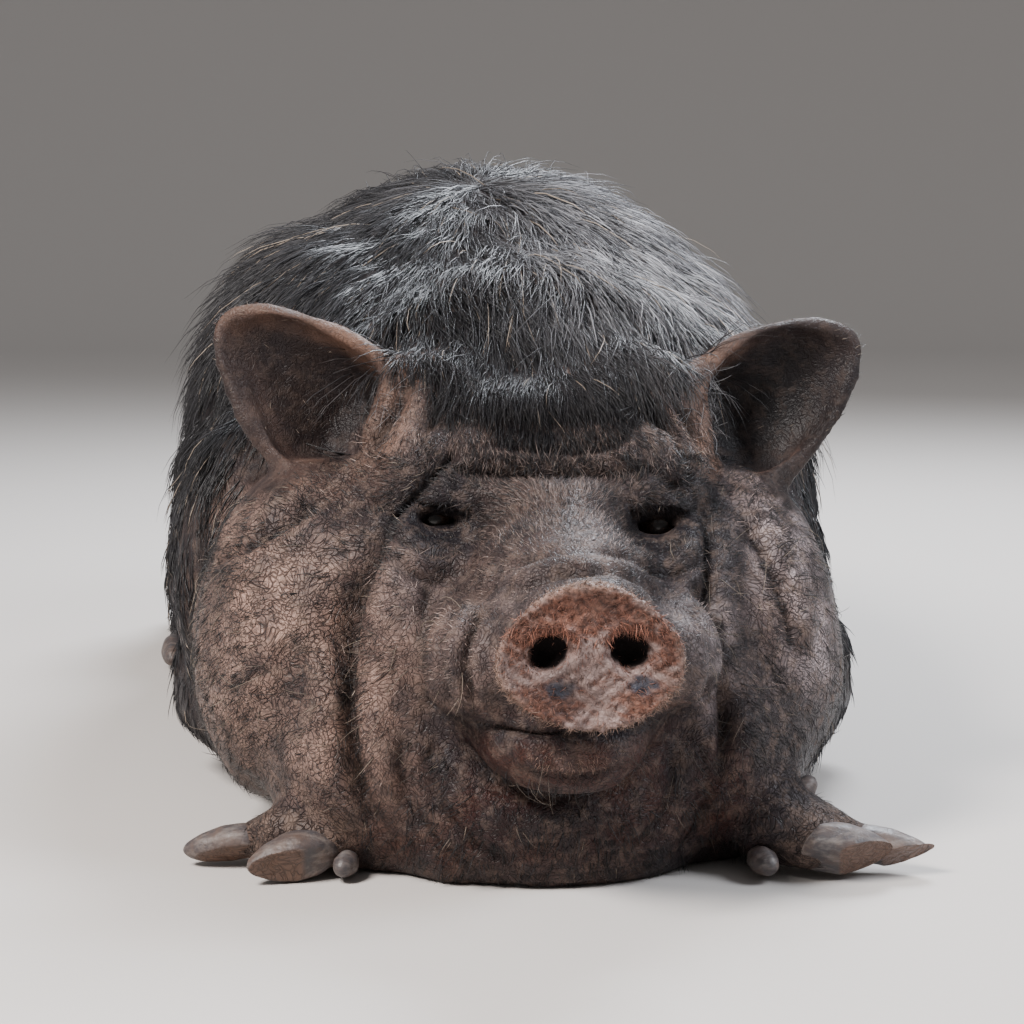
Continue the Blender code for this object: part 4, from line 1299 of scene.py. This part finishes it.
roots = sow(1800, tail_density, 113)
tuft = step(0.10 - roots.places[:, 2], 0, 0.05)
length = (0.010 + 0.022 * tuft) * roots.between(0.6, 1.2)
bristles("coat_tail", roots, roots.heading(0.12, 0.15, -1.0), length, roots.between(0.0006, 0.0009),
         roots.around(0.16, 0.10, 0.05, 0.6), 0.05, tints(roots, 0.02), rings=3, jitter=0.15)

# Claws: two cloven toes and two dewclaws to a foot, of dark grey horn with pale streaks and
# growth rings, and brown cracked soles on the front ones. Each is smoothed from its solid.
CLAW_VOXEL = 0.0009
CLAW_GROWTH = 0.0005
# Each front sole: the middle of the claw, the way the sole faces, and how far out it lies.
SOLES = {
    "claw_front_right_inner": ((-.128, -.402, .0135), (0.10, -0.92, -0.38), 0.0068),
    "claw_front_right_outer": ((-.164, -.372, .0110), (0.02, -0.66, -0.75), 0.0046),
    "claw_front_left_inner": ((.133, -.423, .0155), (0.22, -0.80, -0.55), 0.0070),
    "claw_front_left_outer": ((.158, -.413, .0125), (0.16, -0.66, -0.74), 0.0048),
}
WALL = (0.052, 0.047, 0.051)
SOLE = (0.105, 0.060, 0.043)


def claw_mesh(name):
    """One claw's solid, rounded off, with its sole pressed flat and a little hollow."""
    bm = merged_copy(name)
    mesh = bpy.data.meshes.new("claw")
    bm.to_mesh(mesh)
    bm.free()
    mesh = with_modifier(mesh, "REMESH", {"mode": "VOXEL", "voxel_size": CLAW_VOXEL})
    points = numbers(mesh.vertices, "co", 3)
    edges = numbers(mesh.edges, "vertices", 2, np.int64)
    points = softened(points, edges, 0.6, 12)
    put_points(mesh, points)
    points += numbers(mesh.vertex_normals, "vector", 3) * CLAW_GROWTH
    sole = np.zeros(len(points))
    if name in SOLES:
        middle, way, reach = SOLES[name]
        way = np.array(way) / np.linalg.norm(way)
        out = (points - np.array(middle)) @ way
        sole = step(out, reach - 0.0006, reach + 0.0004)
        rough = 0.00025 * drift(points, 0.006, 81)
        points -= np.maximum(out - reach + 0.12 * (out - reach) + rough * sole, 0)[:, None] * way
        points = softened(points, edges, 0.5, 2)
    points[:, 2] = np.maximum(points[:, 2], FLOOR_GAP)
    put_points(mesh, points)
    colour = blended(np.tile(np.array(WALL), (len(points), 1)), SOLE, sole)
    set_colour(mesh, "markings", colour, 0.15 + 0.85 * sole)
    return mesh


def claw_piece(foot):
    """The four claws of one foot, joined."""
    nodes = [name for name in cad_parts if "claw_" + foot in name]
    whole = bmesh.new()
    for name in nodes:
        part = claw_mesh(name)
        whole.from_mesh(part)
        bpy.data.meshes.remove(part)
    mesh = bpy.data.meshes.new("claws_" + foot)
    whole.to_mesh(mesh)
    whole.free()
    mesh.shade_smooth()
    thing = add_to_scene("claws_" + foot, mesh)
    thing.data.materials.append(horn_material)
    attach(thing, "root")
    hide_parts(*nodes)


def horn_finish():
    """Streaked horn, smooth on the wall and cracked on the sole, with earth on both."""
    finish = Finish("horn", Specular_IOR_Level=0.5)
    marks = finish.attribute("markings")
    sole = Amount(finish, finish.attribute("markings", "Alpha"))
    place = finish.place()
    longways = finish.node("ShaderNodeVectorMath", {"operation": "MULTIPLY"},
                           {0: place, 1: (0.25, 1.0, 1.0)}).outputs[0]
    streaks = finish.ramp(finish.noise(300.0, 3.0, vector=longways, rough=0.6), 0.46, 0.70)
    rings = finish.noise(420.0, 3.0)
    bent = finish.moved(0.006, vector=finish.moved(0.014, scale=70.0), scale=220.0)
    cracks = 1 - finish.ramp(finish.cracks(300.0, bent), 0.0, 0.16)
    dirt = finish.ramp(finish.noise(70.0, 5.0, rough=0.7), 0.42, 0.66)
    colour = finish.mixed(0.55 * streaks * (1 - sole), marks, (0.30, 0.26, 0.235))
    colour = finish.mixed(0.45 * dirt, colour, (0.14, 0.078, 0.050))
    colour = finish.mixed(0.55 * cracks * sole, colour, (0.022, 0.014, 0.011))
    height = 0.5 * rings + 0.3 * dirt - 0.8 * cracks * sole
    return finish.finished(colour, 0.34 + 0.22 * rings + 0.12 * dirt, height, 0.0008, 0.6)


horn_material = horn_finish()
for foot in ("front_left", "front_right", "hind_left", "hind_right"):
    claw_piece(foot)

# Eyes: small, dark brown and wet, deep between puffy lids.
WHITE = (0.030, 0.020, 0.016)
IRIS = (0.026, 0.012, 0.006)
IRIS_RADIUS = 0.0062
PUPIL = (0.003, 0.002, 0.002)
PUPIL_RADIUS = 0.0038


def eye_piece(node, centre, radius):
    """One eyeball, coloured by the distance from the middle of its front."""
    bm = bmesh.new()
    bmesh.ops.create_uvsphere(bm, u_segments=48, v_segments=32, radius=radius)
    bmesh.ops.translate(bm, verts=bm.verts, vec=centre)
    mesh = bpy.data.meshes.new(node + "_ball")
    bm.to_mesh(mesh)
    bm.free()
    mesh.shade_smooth()
    points = numbers(mesh.vertices, "co", 3)
    front = np.array(centre) + np.array((0, -radius, -0.001))
    away = np.linalg.norm(points - front, axis=1)
    colour = np.tile(np.array(WHITE), (len(points), 1))
    colour = blended(colour, IRIS, step(-away, -IRIS_RADIUS - 0.001, -IRIS_RADIUS))
    colour = blended(colour, PUPIL, step(-away, -PUPIL_RADIUS - 0.001, -PUPIL_RADIUS))
    set_colour(mesh, "markings", colour)
    thing = add_to_scene(node + "_ball", mesh)
    thing.data.materials.append(eye_material)
    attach(thing, "root")
    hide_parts(node)


def eye_finish():
    finish = Finish("wet_eye", Specular_IOR_Level=0.4, Coat_Weight=0.35, Coat_Roughness=0.04)
    marks = finish.attribute("markings")
    veins = finish.noise(900.0, 3.0)
    colour = finish.mixed(0.3 * veins, marks, (0.02, 0.008, 0.004))
    return finish.finished(colour, 0.22 + 0.08 * veins)


eye_material = eye_finish()
for node in ("eye_right", "eye_left"):
    solid = numbers(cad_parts[node].data.vertices, "co", 3)
    middle = (solid.min(0) + solid.max(0)) / 2
    eye_piece(node, tuple(middle), float((solid.max(0) - solid.min(0))[0] / 2))

# Floor: a plain pale sweep, level with the soles of the feet, that curves up far away all round.
FLAT_REACH = 6.0
SWEEP_RADIUS = 4.0
SWEEP_STEPS = 16
FLOOR_COLOUR = (0.60, 0.565, 0.54, 1)


def floor_sweep():
    """A profile of the floor and its curve, spun round the pig."""
    bm = bmesh.new()
    profile = [bm.verts.new((reach, 0, 0)) for reach in (0.0, FLAT_REACH)]
    for k in range(1, SWEEP_STEPS + 1):
        angle = pi / 2 * k / SWEEP_STEPS
        profile.append(bm.verts.new((FLAT_REACH + SWEEP_RADIUS * sin(angle), 0,
                                     SWEEP_RADIUS * (1 - cos(angle)))))
    edges = [bm.edges.new(pair) for pair in zip(profile[:-1], profile[1:])]
    bmesh.ops.spin(bm, geom=profile + edges, cent=(0, 0, 0), axis=(0, 0, 1), angle=2 * pi,
                   steps=96, use_merge=True)
    bmesh.ops.remove_doubles(bm, verts=bm.verts, dist=1e-4)
    bmesh.ops.recalc_face_normals(bm, faces=bm.faces)
    bm.normal_update()
    bm.faces.ensure_lookup_table()
    if min(bm.faces, key=lambda face: face.calc_center_median().length).normal.z < 0:
        bmesh.ops.reverse_faces(bm, faces=bm.faces)
    mesh = bpy.data.meshes.new("floor")
    bm.to_mesh(mesh)
    bm.free()
    mesh.shade_smooth()
    finish = Finish("floor", Roughness=0.8, Specular_IOR_Level=0.0)
    finish.surface.inputs["Base Color"].default_value = FLOOR_COLOUR
    mesh.materials.append(finish.material)
    return add_to_scene("floor", mesh)


floor_sweep()


# Lights: one large soft lamp high on the left, a weaker one on the right, one behind for the
# shine of the back, and a pale sky.
def add_lamp(name, place, target, size, power, colour):
    """A round lamp that faces its target."""
    lamp = bpy.data.objects.new(name, bpy.data.lights.new(name, "AREA"))
    lamp.data.shape = "DISK"
    lamp.data.size = size
    lamp.data.energy = power
    lamp.data.color = colour
    lamp.location = place
    lamp.rotation_euler = (Vector(target) - Vector(place)).to_track_quat("-Z", "Y").to_euler()
    bpy.context.scene.collection.objects.link(lamp)


add_lamp("key", (-1.2, -1.3, 1.7), (0, -0.25, 0.15), 0.75, 98, (1.0, 0.95, 0.91))
add_lamp("fill", (1.6, -0.9, 1.5), (0, -0.2, 0.15), 1.0, 44, (0.88, 0.93, 1.0))
add_lamp("back", (0.7, 1.2, 1.9), (0, 0.0, 0.3), 1.0, 86, (0.88, 0.93, 1.0))
world = bpy.data.worlds.new("studio")
world.use_nodes = True
world.node_tree.nodes["Background"].inputs["Color"].default_value = (0.87, 0.88, 0.90, 1.0)
world.node_tree.nodes["Background"].inputs["Strength"].default_value = 0.36
bpy.context.scene.world = world


# Camera: low and close in front, a little to the pig's right.
CAMERA_PLACE = (-0.118, -1.458, 0.300)
TURN = radians(5.0)
DIP = radians(6.5)


def add_camera():
    """The camera that the picture is taken from."""
    camera = bpy.data.objects.new("camera", bpy.data.cameras.new("camera"))
    bpy.context.scene.collection.objects.link(camera)
    ahead = Vector((sin(TURN) * cos(DIP), cos(TURN) * cos(DIP), -sin(DIP)))
    camera.location = CAMERA_PLACE
    camera.rotation_euler = ahead.to_track_quat("-Z", "Y").to_euler()
    camera.data.lens = 78.4
    camera.data.sensor_width = 36.0
    camera.data.clip_start = 0.01
    bpy.context.scene.camera = camera


add_camera()
